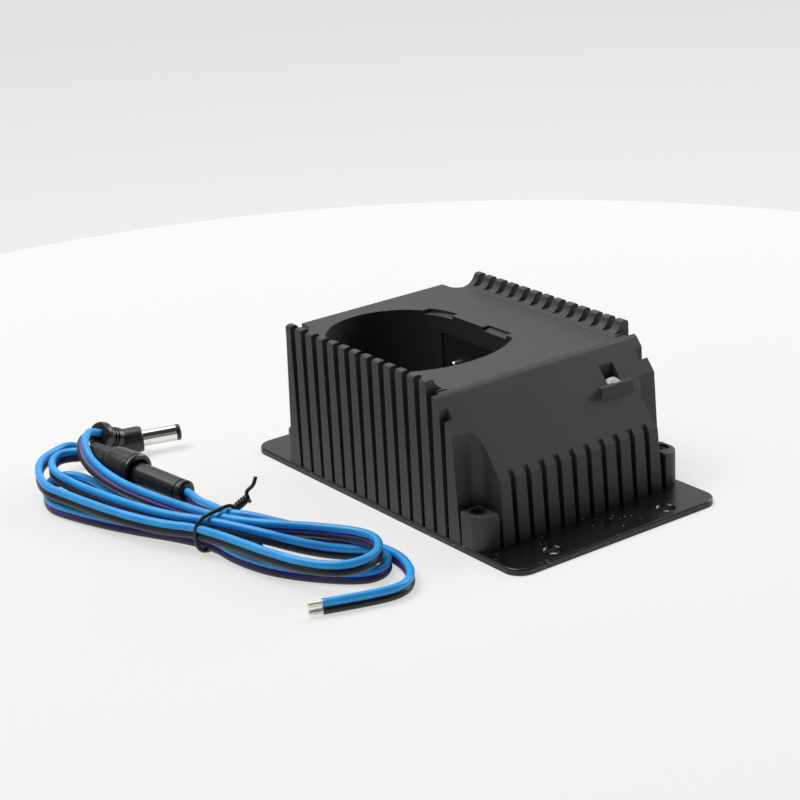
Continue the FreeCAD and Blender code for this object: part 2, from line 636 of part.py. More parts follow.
def build_base_plate():
    """The flanged base plate, with screw pillars that stand in the housing's bosses."""
    plate = box(-PLATE_WIDTH / 2, PLATE_WIDTH / 2, -PLATE_LENGTH / 2, PLATE_LENGTH / 2, 0, PLATE_THICKNESS)
    plate = rounded(plate, PLATE_CORNER, lambda e: len(e.Vertexes) == 2 and near(
        e.Vertexes[0].X, e.Vertexes[1].X) and near(e.Vertexes[0].Y, e.Vertexes[1].Y))
    plate = rounded(plate, PLATE_EDGE_ROUND, lambda e: all(near(v.Z, PLATE_THICKNESS) for v in e.Vertexes))
    holes = []
    for x in (-FLANGE_HOLE_X, FLANGE_HOLE_X):
        for y in (-FLANGE_HOLE_Y, FLANGE_HOLE_Y):
            hole = rod(FLANGE_HOLE_R, PLATE_THICKNESS + 2, (x, y, -1), (0, 0, 1))
            rim = Part.makeCone(FLANGE_HOLE_R, FLANGE_HOLE_R + 2 * FLANGE_RIM, 2 * FLANGE_RIM,
                                V(x, y, PLATE_THICKNESS - FLANGE_RIM), UP)
            holes += [hole, rim]
    plate = plate.cut(holes)
    for x, y in SCREW_PLACES:
        plate = plate.fuse(rod(PILLAR_R, PILLAR_TOP - PLATE_THICKNESS / 2, (x, y, PLATE_THICKNESS / 2), (0, 0, 1)))
    threads = [rod(SCREW_R + THREAD_GAP, PILLAR_TOP, (x, y, SCREW_TIP_Z - 0.3), (0, 0, 1))
               for x, y in SCREW_PLACES]
    return plate.cut(threads).removeSplitter()


def screw(place, tip_z, seat_z, shank_r, head_r, head_height, up=1):
    """A pan-head screw with a cross recess; up = -1 turns it head down."""
    x, y = place
    shank = rod(shank_r, abs(seat_z - tip_z), (x, y, tip_z), (0, 0, up))
    crown = head_height * 0.4
    head = rod(head_r, head_height - crown, (x, y, seat_z), (0, 0, up)).fuse(
        Part.makeCone(head_r, head_r - crown, crown, V(x, y, seat_z + up * (head_height - crown)), V(0, 0, up)))
    top = seat_z + up * head_height
    depth = head_height * 0.6
    arm, slit = head_r * 0.6, head_r * 0.11
    low, high = min(top, top - up * depth), max(top, top - up * depth)
    cross = box(x - arm, x + arm, y - slit, y + slit, low, high).fuse(
        box(x - slit, x + slit, y - arm, y + arm, low, high))
    return shank.fuse(head).cut(cross)


def build_housing_screws():
    """The four screws that pull the housing onto the base plate."""
    seat = BOSS_TOP_Z - SCREW_HEAD_SINK - SCREW_HEAD_HEIGHT
    return Part.makeCompound([screw(p, SCREW_TIP_Z, seat, SCREW_R, SCREW_HEAD_R, SCREW_HEAD_HEIGHT)
                              for p in SCREW_PLACES])


def build_board_screws():
    """The four short screws that hold the board under its posts."""
    return Part.makeCompound([screw(p, BOARD_Z + BOARD_SCREW_LENGTH, BOARD_Z, BOARD_SCREW_R,
                                    BOARD_SCREW_HEAD_R, BOARD_SCREW_HEAD, -1) for p in BOARD_POSTS])


PIN_YS = (CONTACT_MID_Y - PIN_SPACING / 2, CONTACT_MID_Y + PIN_SPACING / 2)
BLOCK_FACE_X = WELL_RIGHT_X - BLOCK_PROUD
WALL_BACK_X = WELL_RIGHT_X + WELL_WALL + WALL_SEAT_GAP
CHAMBER_X = BLOCK_FACE_X + CHAMBER_FRONT_WALL
TERMINAL_X = CHAMBER_X + CHAMBER_LENGTH


def build_contact_block():
    """The contact block: a panel in the well's wall with two pin chambers behind it."""
    panel = box(BLOCK_FACE_X, WALL_BACK_X + BLOCK_LIP, CONTACT_MID_Y - BLOCK_Y_HALF,
                CONTACT_MID_Y + BLOCK_Y_HALF, BLOCK_Z0, BLOCK_Z1)
    lip = box(WALL_BACK_X, WALL_BACK_X + BLOCK_LIP, CONTACT_MID_Y - BLOCK_Y_HALF - BLOCK_LIP,
              CONTACT_MID_Y + BLOCK_Y_HALF + BLOCK_LIP, BLOCK_Z0 - BLOCK_LIP, BLOCK_Z1 + BLOCK_LIP)
    body = box(WALL_BACK_X, TERMINAL_X + TERMINAL_THICKNESS, PIN_YS[0] - CHAMBER_R - BLOCK_LIP,
               PIN_YS[1] + CHAMBER_R + BLOCK_LIP, PIN_Z - CHAMBER_R - BLOCK_LIP, PIN_Z + CHAMBER_R + BLOCK_LIP)
    block = panel.fuse([lip, body])
    for y in PIN_YS:
        block = block.cut([
            rod(PIN_R + PIN_CLEARANCE, 2 * CHAMBER_LENGTH, (BLOCK_FACE_X - 1, y, PIN_Z), (1, 0, 0)),
            rod(CHAMBER_R, 2 * CHAMBER_LENGTH, (CHAMBER_X, y, PIN_Z), (1, 0, 0))])
    return block.removeSplitter()


def build_contact_pin(y):
    """One contact pin: round nose, shank, flange and a spigot for its spring."""
    nose = BLOCK_FACE_X - PIN_PROUD
    shank = rod(PIN_R, CHAMBER_X - nose, (nose, y, PIN_Z), (1, 0, 0))
    shank = rounded(shank, PIN_R * 0.7, lambda e: near(e.BoundBox.XMax, nose, 0.001))
    flange = rod(PIN_FLANGE_R, PIN_FLANGE_THICKNESS, (CHAMBER_X, y, PIN_Z), (1, 0, 0))
    spigot = rod(SPRING_R - SPRING_WIRE, PIN_FLANGE_THICKNESS, (CHAMBER_X + PIN_FLANGE_THICKNESS, y, PIN_Z), (1, 0, 0))
    return shank.fuse([flange, spigot]).removeSplitter()


def build_contact_spring(y):
    """One compression spring between a pin's flange and its terminal."""
    start = CHAMBER_X + PIN_FLANGE_THICKNESS + SPRING_WIRE / 2
    length = TERMINAL_X - start - SPRING_WIRE / 2
    helix = Part.makeHelix(length / SPRING_TURNS, length, SPRING_R)
    wire = Part.Wire(helix.Edges)
    first = wire.Edges[0]
    ring = wire_ring(SPRING_WIRE / 2, first.valueAt(first.FirstParameter), first.tangentAt(first.FirstParameter))
    coil = wire.makePipeShell([ring], True, True)
    coil.rotate(V(0, 0, 0), V(0, 1, 0), 90)
    coil.translate(V(start, y, PIN_Z))
    return coil


def build_contact_terminal(y):
    """One terminal disc behind a spring, with its solder tail."""
    disc = rod(CHAMBER_R - TERMINAL_FIT, TERMINAL_THICKNESS, (TERMINAL_X, y, PIN_Z), (1, 0, 0))
    tail = box(TERMINAL_X, TERMINAL_X + TERMINAL_TAIL, y - TERMINAL_TAIL / 4, y + TERMINAL_TAIL / 4,
               PIN_Z - TERMINAL_THICKNESS / 2, PIN_Z + TERMINAL_THICKNESS / 2)
    return disc.fuse(tail)


def build_status_lamp():
    """The round status lamp: a domed body with a collar, set in the shelf from below."""
    top = SHELF_Z + LAMP_PROUD
    body = rod(LAMP_R, LAMP_BODY, (LAMP_X, LAMP_Y, top - LAMP_BODY), (0, 0, 1))
    body = rounded(body, LAMP_R * 0.85, lambda e: near(e.BoundBox.ZMin, top, 0.001))
    collar = rod(LAMP_COLLAR_R, LAMP_COLLAR, (LAMP_X, LAMP_Y, top - LAMP_BODY), (0, 0, 1))
    return body.fuse(collar)


def build_lamp_leads():
    """The status lamp's two wire leads, straight down into the board."""
    top = SHELF_Z + LAMP_PROUD - LAMP_BODY
    low = BOARD_Z - LEAD_STUB
    return Part.makeCompound([box(LAMP_X + s * LEAD_PITCH / 2 - LEAD_WIRE / 2, LAMP_X + s * LEAD_PITCH / 2 + LEAD_WIRE / 2,
                                  LAMP_Y - LEAD_WIRE / 2, LAMP_Y + LEAD_WIRE / 2, low, top) for s in (-1, 1)])


def build_circuit_board():
    """The circuit board, notched round the two screw channels."""
    outline = [(BOARD_X0, BOARD_Y0), (BOARD_NOTCH_X, BOARD_Y0), (BOARD_NOTCH_X, BOARD_NOTCH_FRONT),
               (BOARD_X1, BOARD_NOTCH_FRONT), (BOARD_X1, BOARD_NOTCH_BACK), (BOARD_NOTCH_X, BOARD_NOTCH_BACK),
               (BOARD_NOTCH_X, BOARD_Y1), (BOARD_X0, BOARD_Y1)]
    board = face_of([(x, y, BOARD_Z) for x, y in outline]).extrude(V(0, 0, BOARD_THICKNESS))
    holes = [rod(BOARD_SCREW_R + SHANK_CLEARANCE, 6, (x, y, BOARD_Z - 1), (0, 0, 1)) for x, y in BOARD_POSTS]
    leads = [rod(LEAD_WIRE * 0.8, 6, (LAMP_X + s * LEAD_PITCH / 2, LAMP_Y, BOARD_Z - 1), (0, 0, 1)) for s in (-1, 1)]
    legs = [rod(LEAD_WIRE, 6, (x, y + s * DIODE_LEG_Y, BOARD_Z - 1), (0, 0, 1)) for x, y in DIODES_AT for s in (-1, 1)]
    return board.cut(holes + leads + legs)


def build_supply_socket():
    """The supply socket's body on the board, behind the hole in the back wall."""
    half = JACK_WIDTH / 2
    body = box(JACK_X - half, JACK_X + half, JACK_FACE_Y - JACK_LENGTH, JACK_FACE_Y, BOARD_TOP, BOARD_TOP + JACK_HEIGHT)
    bore = rod(BARREL_R + SOCKET_CLEARANCE, JACK_BORE_DEPTH, (JACK_X, JACK_FACE_Y, JACK_Z), (0, -1, 0))
    pin_hole = rod(SOCKET_PIN_R, JACK_BORE_DEPTH + PIN_ROOT, (JACK_X, JACK_FACE_Y, JACK_Z), (0, -1, 0))
    return body.cut([bore, pin_hole])


def build_socket_pin():
    """The supply socket's centre pin."""
    length = JACK_BORE_DEPTH + PIN_ROOT - PIN_SET_BACK
    pin = rod(SOCKET_PIN_R, length, (JACK_X, JACK_FACE_Y - PIN_SET_BACK, JACK_Z), (0, -1, 0))
    return rounded(pin, SOCKET_PIN_R * 0.6, lambda e: near(e.BoundBox.YMin, JACK_FACE_Y - PIN_SET_BACK, 0.001))


def build_capacitors():
    """The two upright capacitors."""
    cans = []
    for (x, y), (r, height) in ((CAP_IN, CAP_IN_SIZE), (CAP_OUT, CAP_OUT_SIZE)):
        bead = height * 0.18
        points = [(0, 0), (r - CAP_BEAD, 0), (r, CAP_BEAD), (r, bead - CAP_BEAD), (r - CAP_BEAD, bead),
                  (r, bead + CAP_BEAD), (r, height - CAP_BEAD), (r - CAP_BEAD, height), (0, height)]
        face = face_of([(x + away, y, BOARD_TOP + up) for away, up in points])
        cans.append(face.revolve(V(x, y, 0), UP, 360))
    return Part.makeCompound(cans)


def build_inductor():
    """The drum inductor: two flanges and its winding between them."""
    x, y = INDUCTOR_AT
    points = [(0, 0), (INDUCTOR_R, 0), (INDUCTOR_R, 1.0), (INDUCTOR_R - 0.7, 1.4), (INDUCTOR_R - 0.7, 6.2),
              (INDUCTOR_R, 6.6), (INDUCTOR_R, 7.6), (0, 7.6)]
    face = face_of([(x + r, y, BOARD_TOP + h) for r, h in points])
    return face.revolve(V(x, y, 0), UP, 360)


def build_charge_controller():
    """The eight-legged charge controller."""
    x, y = CHIP_AT
    body = box(x - 2.0, x + 2.0, y - 2.5, y + 2.5, BOARD_TOP + 0.2, BOARD_TOP + 1.7)
    body = rounded(body, 0.25, lambda e: near(e.BoundBox.ZMin, e.BoundBox.ZMax, 0.001))
    legs = []
    for i in range(4):
        leg_y = y - 1.905 + i * 1.27
        for s in (-1, 1):
            near_x, far_x = x + s * 1.9, x + s * 3.0
            legs.append(box(min(near_x, far_x), max(near_x, far_x), leg_y - 0.2, leg_y + 0.2, BOARD_TOP, BOARD_TOP + 0.9))
    return body.fuse(legs)


def build_power_transistor():
    """The power transistor, lying on the board with its metal tab."""
    x, y = TRANSISTOR_AT
    body = box(x - 3.3, x + 3.3, y - 3.0, y + 3.0, BOARD_TOP, BOARD_TOP + 2.3)
    body = rounded(body, 0.4, lambda e: near(e.BoundBox.ZMin, e.BoundBox.ZMax, 0.001) and e.BoundBox.ZMin > BOARD_TOP + 1)
    tab = box(x - 2.7, x + 2.7, y + 2.5, y + 4.2, BOARD_TOP, BOARD_TOP + 0.5)
    legs = [box(x + s * 2.3 - 0.35, x + s * 2.3 + 0.35, y - 5.4, y - 2.8, BOARD_TOP, BOARD_TOP + 0.6) for s in (-1, 1)]
    return body.fuse([tab] + legs)


def build_rectifier_diodes():
    """The two diodes lying across the board."""
    parts = []
    for x, y in DIODES_AT:
        body = rod(1.35, 5.2, (x, y - 2.6, BOARD_TOP + 1.5), (0, 1, 0))
        wire = rod(0.4, 10.0, (x, y - 5.0, BOARD_TOP + 1.5), (0, 1, 0))
        ends = [rod(0.4, BOARD_THICKNESS + 2.0, (x, y + s * DIODE_LEG_Y, BOARD_Z - 0.5), (0, 0, 1)) for s in (-1, 1)]
        parts.append(body.fuse([wire] + ends))
    return Part.makeCompound(parts)


def build_contact_wires(index):
    """One wire from a contact's solder tail down to the board."""
    y = PIN_YS[index]
    top = V(TERMINAL_X + TERMINAL_TAIL + INNER_WIRE_R, y, PIN_Z)
    foot = V(top.x + 2.5, y + (3 if index else -3), BOARD_TOP)
    knee = V(foot.x, foot.y, BOARD_TOP + 9)
    return tube_along([top, V(top.x + 0.9, y, PIN_Z - 5), knee, foot], INNER_WIRE_R)


def straight_then_arcs(points, ease=0.45):
    """A wire of straight runs joined by tangent arcs, with the least arc radius."""
    places = [V(*p) for p in points]
    edges, radii, at = [], [], places[0]
    for before, corner, after in zip(places, places[1:], places[2:]):
        back, ahead = before - corner, after - corner
        reach = ease * min(back.Length, ahead.Length)
        back.normalize()
        ahead.normalize()
        half = back.getAngle(ahead) / 2
        radius = reach * math.tan(half)
        start, end = corner + back * reach, corner + ahead * reach
        middle_way = back + ahead
        middle_way.normalize()
        middle = corner + middle_way * (radius / math.sin(half) - radius)
        edges += [Part.LineSegment(at, start).toShape(), Part.Arc(start, middle, end).toShape()]
        radii.append(radius)
        at = end
    edges.append(Part.LineSegment(at, places[-1]).toShape())
    return Part.Wire(edges), min(radii)


def tube_along(points, r):
    """A round tube along straight runs and arcs."""
    wire, _ = straight_then_arcs(points)
    start = wire.Edges[0]
    ring = Part.Wire(Part.makeCircle(r, start.valueAt(start.FirstParameter), start.tangentAt(start.FirstParameter)))
    return wire.makePipeShell([ring], True, False)


def arc_leaving(start, heading, end):
    """The middle point of the arc that leaves start along a heading and reaches end."""
    chord = end - start
    way = V(chord)
    way.normalize()
    aside = heading - way * heading.dot(way)
    if aside.Length < 1e-4:
        return None
    turn = heading.getAngle(way)
    aside.normalize()
    return (start + end) * 0.5 + aside * (chord.Length / 2 * math.tan(turn / 2))


def biarc(p0, t0, p1, t1):
    """Two arcs that carry one heading over into the next, as (start, middle, end)."""
    v, both, spread = p1 - p0, t0 + t1, 1 - t0.dot(t1)
    if spread < 1e-9:
        d = v.dot(v) / (4 * v.dot(t0))
    else:
        d = (-v.dot(both) + math.sqrt(v.dot(both) ** 2 + 2 * spread * v.dot(v))) / (2 * spread)
    joint = (p0 + t0 * d + p1 - t1 * d) * 0.5
    return [(p0, arc_leaving(p0, t0, joint), joint), (joint, arc_leaving(p1, t1 * -1, joint), p1)]


def bend(centre, r, first, sweep, z0, z1):
    """Places and headings round one U-turn of the hank, each an eighth or so of a turn."""
    steps = max(2, math.ceil(abs(sweep) / 60))
    turn = math.copysign(1, sweep)
    climb = (z1 - z0) / (r * math.radians(abs(sweep)))
    stops = []
    for i in range(steps + 1):
        angle = math.radians(first + sweep * i / steps)
        heading = V(-turn * math.sin(angle), turn * math.cos(angle), climb)
        heading.normalize()
        stops.append((V(centre[0] + r * math.cos(angle), centre[1] + r * math.sin(angle),
                        z0 + (z1 - z0) * i / steps), heading))
    return stops


def route_arcs(stops):
    """Biarcs through all stops; a stop without a heading takes it from its neighbours."""
    places = [p for p, _ in stops]
    arcs = []
    headings = []
    for i, (_, heading) in enumerate(stops):
        if heading is None:
            heading = places[min(i + 1, len(places) - 1)] - places[max(i - 1, 0)]
        heading = V(heading)
        heading.normalize()
        headings.append(heading)
    for p0, t0, p1, t1 in zip(places, headings, places[1:], headings[1:]):
        arcs += biarc(p0, t0, p1, t1)
    return arcs


def arc_points(arcs, step):
    """Points along the arcs, no further apart than a step."""
    points = []
    for start, middle, end in arcs:
        edge = Part.LineSegment(start, end) if middle is None else Part.Arc(start, middle, end)
        edge = edge.toShape()
        points += edge.discretize(max(3, int(edge.Length / step) + 2))[:-1]
    return points + [arcs[-1][2]]


def measure_lead(name, arcs):
    """Prints a lead's length, its tightest arc and its least gap to itself."""
    edges = [Part.Arc(*a).toShape() for a in arcs if a[1] is not None]
    tightest = min(e.Curve.Radius for e in edges)
    points = arc_points(arcs, 1.5)
    run = [0.0]
    for p, q in zip(points, points[1:]):
        run.append(run[-1] + (q - p).Length)
    least, where = 99.0, None
    for i, p in enumerate(points):
        for j in range(i + 1, len(points)):
            if run[j] - run[i] < 3 * LEAD_HEIGHT:
                continue
            q = points[j]
            across = max(math.hypot(p.x - q.x, p.y - q.y) - LEAD_WIDTH, 0)
            above = max(abs(p.z - q.z) - LEAD_HEIGHT, 0)
            if math.hypot(across, above) < least:
                least, where = math.hypot(across, above), (p, q)
    print("%s: length %.1f mm, tightest arc %.2f mm, least gap to itself %.2f mm at %s" % (
        name, run[-1], tightest, least, [tuple(round(c, 1) for c in w) for w in where or ()]))


def twin_tube(arcs):
    """The twin lead swept along its arcs, standing on edge."""
    wire = Part.Wire([(Part.LineSegment(a, c) if b is None else Part.Arc(a, b, c)).toShape() for a, b, c in arcs])
    start, ahead = arcs[0][0], arcs[0][2] - arcs[0][0]
    edge = wire.Edges[0]
    ahead = edge.tangentAt(edge.FirstParameter)
    if (edge.valueAt(edge.FirstParameter) - start).Length > 0.01:
        ahead = edge.tangentAt(edge.LastParameter) * -1
    side = ahead.cross(UP)
    side.normalize()
    up = side.cross(ahead)
    r, half = LEAD_WIDTH / 2, LEAD_HEIGHT / 2
    corners = [start + side * (s * r) + up * (h * half) for s, h in LEAD_SECTION]
    return wire.makePipeShell([Part.makePolygon(corners + corners[:1])], True, False)


def slot(across, layer):
    """Where one run of the hank crosses the tie."""
    return V(TIE_AT[0] + TIE_ACROSS[0] * across, TIE_AT[1] + TIE_ACROSS[1] * across, layer)


def build_supply_route():
    """Plug, over the fuse cap, then three and a half turns of the hank to the cap's end."""
    stops = [(V(*p), None) for p in PLUG_STRETCH]
    stops.append((slot(SLOT_PLUG, LAYER_HIGH), None))
    for leg_in, turn, leg_out, across, layer in SUPPLY_TURNS:
        stops += [(V(*p), None) for p in leg_in]
        stops += bend(*turn)
        stops += [(V(*p), None) for p in leg_out]
        if across is not None:
            stops.append((slot(across, layer), None))
    stops[0] = (stops[0][0], PLUG_EXIT)
    return route_arcs(stops)


def build_output_route():
    """Fuse body, through the tie and along the floor to the bare ends."""
    stops = [(V(*FUSE_STRETCH[0]) - FUSE_AXIS * LEAD_SEAT, FUSE_AXIS), (V(*FUSE_STRETCH[0]), FUSE_AXIS)]
    stops += [(V(*p), None) for p in FUSE_STRETCH[1:]]
    stops.append((slot(SLOT_FUSE, LAYER_HIGH), None))
    stops += [(V(*p), None) for p in TAIL_STRETCH]
    return route_arcs(stops)


def framed(shape, origin, along):
    """Moves a shape made along +X from the origin to its place and direction."""
    turned = FreeCAD.Rotation(V(1, 0, 0), V(along))
    shape = shape.copy()
    shape.Placement = FreeCAD.Placement(V(*origin), turned).multiply(shape.Placement)
    return shape


def revolved(points):
    """A round piece about +X from its outline of (x, radius) points."""
    return face_of([(x, r, 0) for x, r in points]).revolve(V(0, 0, 0), V(1, 0, 0), 360)


PLUG_AXIS = V(*PLUG_TIP) - V(*PLUG_ELBOW)
PLUG_AXIS.normalize()
HEAD_AXIS = V(*PLUG_ELBOW) - V(*PLUG_CORD_END)
HEAD_LENGTH = HEAD_AXIS.Length
HEAD_AXIS.normalize()
PLUG_EXIT = HEAD_AXIS * -1
ARM_END = (V(*PLUG_TIP) - V(*PLUG_ELBOW)).Length - BARREL_LENGTH
FUSE_AXIS = V(*FUSE_BODY_END) - V(*FUSE_MOUTH)
FUSE_BODY_LENGTH = FUSE_AXIS.Length
FUSE_AXIS.normalize()


def build_plug_body():
    """The angled plug's moulded body: cord disc, slotted neck and the arm to the barrel."""
    head = revolved([(0, 0), (0, HEAD_R - 0.4), (0.4, HEAD_R), (2.2, HEAD_R), (3.2, NECK_R), (HEAD_LENGTH, NECK_R),
                     (HEAD_LENGTH, 0)])
    for i in range(NECK_SLOTS):
        x = 3.6 + i * 1.1
        ring = revolved([(x, NECK_R - 0.6), (x, NECK_R + 1), (x + 0.5, NECK_R + 1), (x + 0.5, NECK_R - 0.6)])
        head = head.cut(ring)
    cord = rod(LEAD_WIDTH * 0.5, 1.5, (0, 0, 0), (1, 0, 0))
    head = framed(head.cut(cord), PLUG_CORD_END, HEAD_AXIS)
    arm = revolved([(-4.0, 0), (-4.0, 2.6), (-2.6, 4.0), (0, 4.2), (ARM_END - 1.0, ARM_R), (ARM_END - 0.3, ARM_R),
                    (ARM_END, ARM_R - 0.4), (ARM_END, 0)])
    arm = framed(arm, PLUG_ELBOW, PLUG_AXIS)
    bore = framed(rod(BARREL_ROOT_R, BARREL_ROOT + 1, (ARM_END - BARREL_ROOT, 0, 0), (1, 0, 0)), PLUG_ELBOW, PLUG_AXIS)
    return head.fuse(arm).cut(bore).removeSplitter()


def build_plug_barrel():
    """The plug's metal barrel, with its root held in the arm."""
    tube = revolved([(-BARREL_ROOT, BARREL_BORE_R + 0.45), (-BARREL_ROOT, BARREL_ROOT_R - 0.02), (0, BARREL_ROOT_R - 0.02),
                     (0, BARREL_R), (BARREL_LENGTH - TIP_LENGTH, BARREL_R),
                     (BARREL_LENGTH - TIP_LENGTH, BARREL_BORE_R + 0.45)])
    return framed(tube, V(*PLUG_ELBOW) + PLUG_AXIS * ARM_END, PLUG_AXIS)


def build_plug_insulator():
    """The black ring that lines the barrel and shows at its tip."""
    ring = revolved([(-BARREL_ROOT + 1, BARREL_BORE_R + 0.15), (-BARREL_ROOT + 1, BARREL_BORE_R + 0.43),
                     (BARREL_LENGTH - TIP_LENGTH + 0.02, BARREL_BORE_R + 0.43),
                     (BARREL_LENGTH - TIP_LENGTH + 0.02, BARREL_R), (BARREL_LENGTH - 0.4, BARREL_R),
                     (BARREL_LENGTH, BARREL_R - 0.4), (BARREL_LENGTH, BARREL_BORE_R + 0.15)])
    return framed(ring, V(*PLUG_ELBOW) + PLUG_AXIS * ARM_END, PLUG_AXIS)


def build_plug_contact():
    """The thin sleeve inside the barrel that takes the socket's pin."""
    sleeve = revolved([(-BARREL_ROOT + 1.5, BARREL_BORE_R), (-BARREL_ROOT + 1.5, BARREL_BORE_R + 0.13),
                       (BARREL_LENGTH - 0.6, BARREL_BORE_R + 0.13), (BARREL_LENGTH - 0.6, BARREL_BORE_R)])
    return framed(sleeve, V(*PLUG_ELBOW) + PLUG_AXIS * ARM_END, PLUG_AXIS)


def build_fuse_cap():
    """The fuse holder's cap: a ribbed grip that opens into a wide collar."""
    outer = revolved([(-CAP_LENGTH, 0), (-CAP_LENGTH, GRIP_END_R - 0.5), (-CAP_LENGTH + 0.5, GRIP_END_R),
                      (-COLLAR_LENGTH, GRIP_R), (-COLLAR_LENGTH + 1.2, GRIP_R + 0.5), (-5.0, COLLAR_R - 0.5),
                      (-2.0, COLLAR_R), (-0.4, COLLAR_R), (0, COLLAR_R - 0.4), (0, 0)])
    for i in range(GRIP_GROOVES):
        groove = box(-CAP_LENGTH - 1, -COLLAR_LENGTH, GRIP_R - 1.1, GRIP_R + 3, -1.2, 1.2)
        groove.rotate(V(0, 0, 0), V(1, 0, 0), (i + 0.5) * 360 / GRIP_GROOVES)
        outer = outer.cut(groove)
    hollow = revolved([(-CAP_LENGTH + 4, 0), (-CAP_LENGTH + 4, FUSE_R + 0.3), (-COLLAR_LENGTH + 3, FUSE_R + 0.3),
                       (-SOCKET_DEPTH, FUSE_R + 0.3), (-SOCKET_DEPTH, BODY_R + CAP_CLEARANCE),
                       (-1.5, BODY_R + CAP_CLEARANCE), (0.1, BODY_R + CAP_CLEARANCE + 0.9), (0.1, 0)])
    slots = box(-PIP_BACK - PIP_R - CAP_CLEARANCE, 1, -PIP_R - CAP_CLEARANCE, PIP_R + CAP_CLEARANCE,
                -BODY_R - PIP_PROUD - CAP_CLEARANCE, BODY_R + PIP_PROUD + CAP_CLEARANCE)
    return framed(outer.cut([hollow, slots]), FUSE_MOUTH, FUSE_AXIS)


def build_fuse_body():
    """The fuse holder's body: a plain tube whose open end sits in the cap."""
    outer = revolved([(-SOCKET_DEPTH + 0.3, FUSE_R + 0.3), (-SOCKET_DEPTH + 0.3, BODY_R - 0.5), (-SOCKET_DEPTH + 0.8, BODY_R),
                      (FUSE_BODY_LENGTH - 3.0, BODY_R + 0.15), (FUSE_BODY_LENGTH - 3.0, BODY_R - 0.25),
                      (FUSE_BODY_LENGTH - 2.5, BODY_R - 0.25), (FUSE_BODY_LENGTH - 2.5, BODY_R + 0.2),
                      (FUSE_BODY_LENGTH - 0.8, BODY_R + 0.2), (FUSE_BODY_LENGTH, BODY_R - 0.6),
                      (FUSE_BODY_LENGTH, LEAD_WIDTH / 2), (FUSE_BODY_LENGTH - 4, LEAD_WIDTH / 2),
                      (FUSE_BODY_LENGTH - 4, FUSE_R + 0.3)])
    pips = [rod(PIP_R, PIP_PROUD + 0.5, (-PIP_BACK, 0, s * (BODY_R - 0.5)), (0, 0, s)) for s in (-1, 1)]
    half, grown = (LEAD_HEIGHT - LEAD_WIDTH) / 2, LEAD_WIDTH / 2 + LEAD_SEAT_GAP
    start = FUSE_BODY_LENGTH - LEAD_SEAT - LEAD_SEAT_GAP
    seat = box(start, FUSE_BODY_LENGTH + 1, -grown, grown, -half, half).fuse(
        [rod(grown, LEAD_SEAT + 1 + LEAD_SEAT_GAP, (start, 0, s * half), (1, 0, 0)) for s in (-1, 1)])
    return framed(outer.fuse(pips).cut(seat).removeSplitter(), FUSE_MOUTH, FUSE_AXIS)


def build_fuse():
    """The glass fuse's two end caps with the glass between them as separate solids."""
    start = -CAP_LENGTH + 6
    glass = revolved([(start + 1.5, 0), (start + 1.5, FUSE_R - 0.25), (start + FUSE_LENGTH - 1.5, FUSE_R - 0.25),
                      (start + FUSE_LENGTH - 1.5, 0)])
    return framed(glass, FUSE_MOUTH, FUSE_AXIS)


def build_fuse_ends():
    """The fuse's two metal end caps."""
    start = -CAP_LENGTH + 6
    ends = []
    for x, inner in ((start, start + 1.5), (start + FUSE_LENGTH, start + FUSE_LENGTH - 1.5)):
        side = 1 if inner > x else -1
        ends.append(framed(revolved([(x, 0), (x, FUSE_R), (inner + side * 2.5, FUSE_R), (inner + side * 2.5, FUSE_R - 0.2),
                                     (inner, FUSE_R - 0.2), (inner, 0)]), FUSE_MOUTH, FUSE_AXIS))
    return Part.makeCompound(ends)


def build_fuse_contacts():
    """The holder's two contact discs, one behind each end of the fuse and its spring."""
    left, right = -CAP_LENGTH + 4, FUSE_BODY_LENGTH - 4
    discs = [rod(FUSE_R + 0.28, 0.6, (left, 0, 0), (1, 0, 0)), rod(FUSE_R + 0.28, 0.6, (right - 0.6, 0, 0), (1, 0, 0))]
    seat = rod(1.2, 1.98, (left, 0, 0), (1, 0, 0))
    return Part.makeCompound([framed(discs[0].fuse(seat), FUSE_MOUTH, FUSE_AXIS), framed(discs[1], FUSE_MOUTH, FUSE_AXIS)])


def build_fuse_spring():
    """The holder's spring, from the fuse to the far contact disc."""
    start = -CAP_LENGTH + 6 + FUSE_LENGTH + FUSE_WIRE / 2
    length = FUSE_BODY_LENGTH - 4.6 - start - FUSE_WIRE / 2
    helix = Part.makeHelix(length / FUSE_TURNS, length, FUSE_R - FUSE_WIRE)
    wire = Part.Wire(helix.Edges)
    first = wire.Edges[0]
    ring = wire_ring(FUSE_WIRE / 2, first.valueAt(first.FirstParameter), first.tangentAt(first.FirstParameter))
    coil = wire.makePipeShell([ring], True, True)
    coil.rotate(V(0, 0, 0), V(0, 1, 0), 90)
    coil.translate(V(start, 0, 0))
    return framed(coil, FUSE_MOUTH, FUSE_AXIS)


def squared(part):
    """Pushes a sine or cosine outwards, so a round loop follows a squarish bundle."""
    return math.copysign(abs(part) ** 0.35, part)


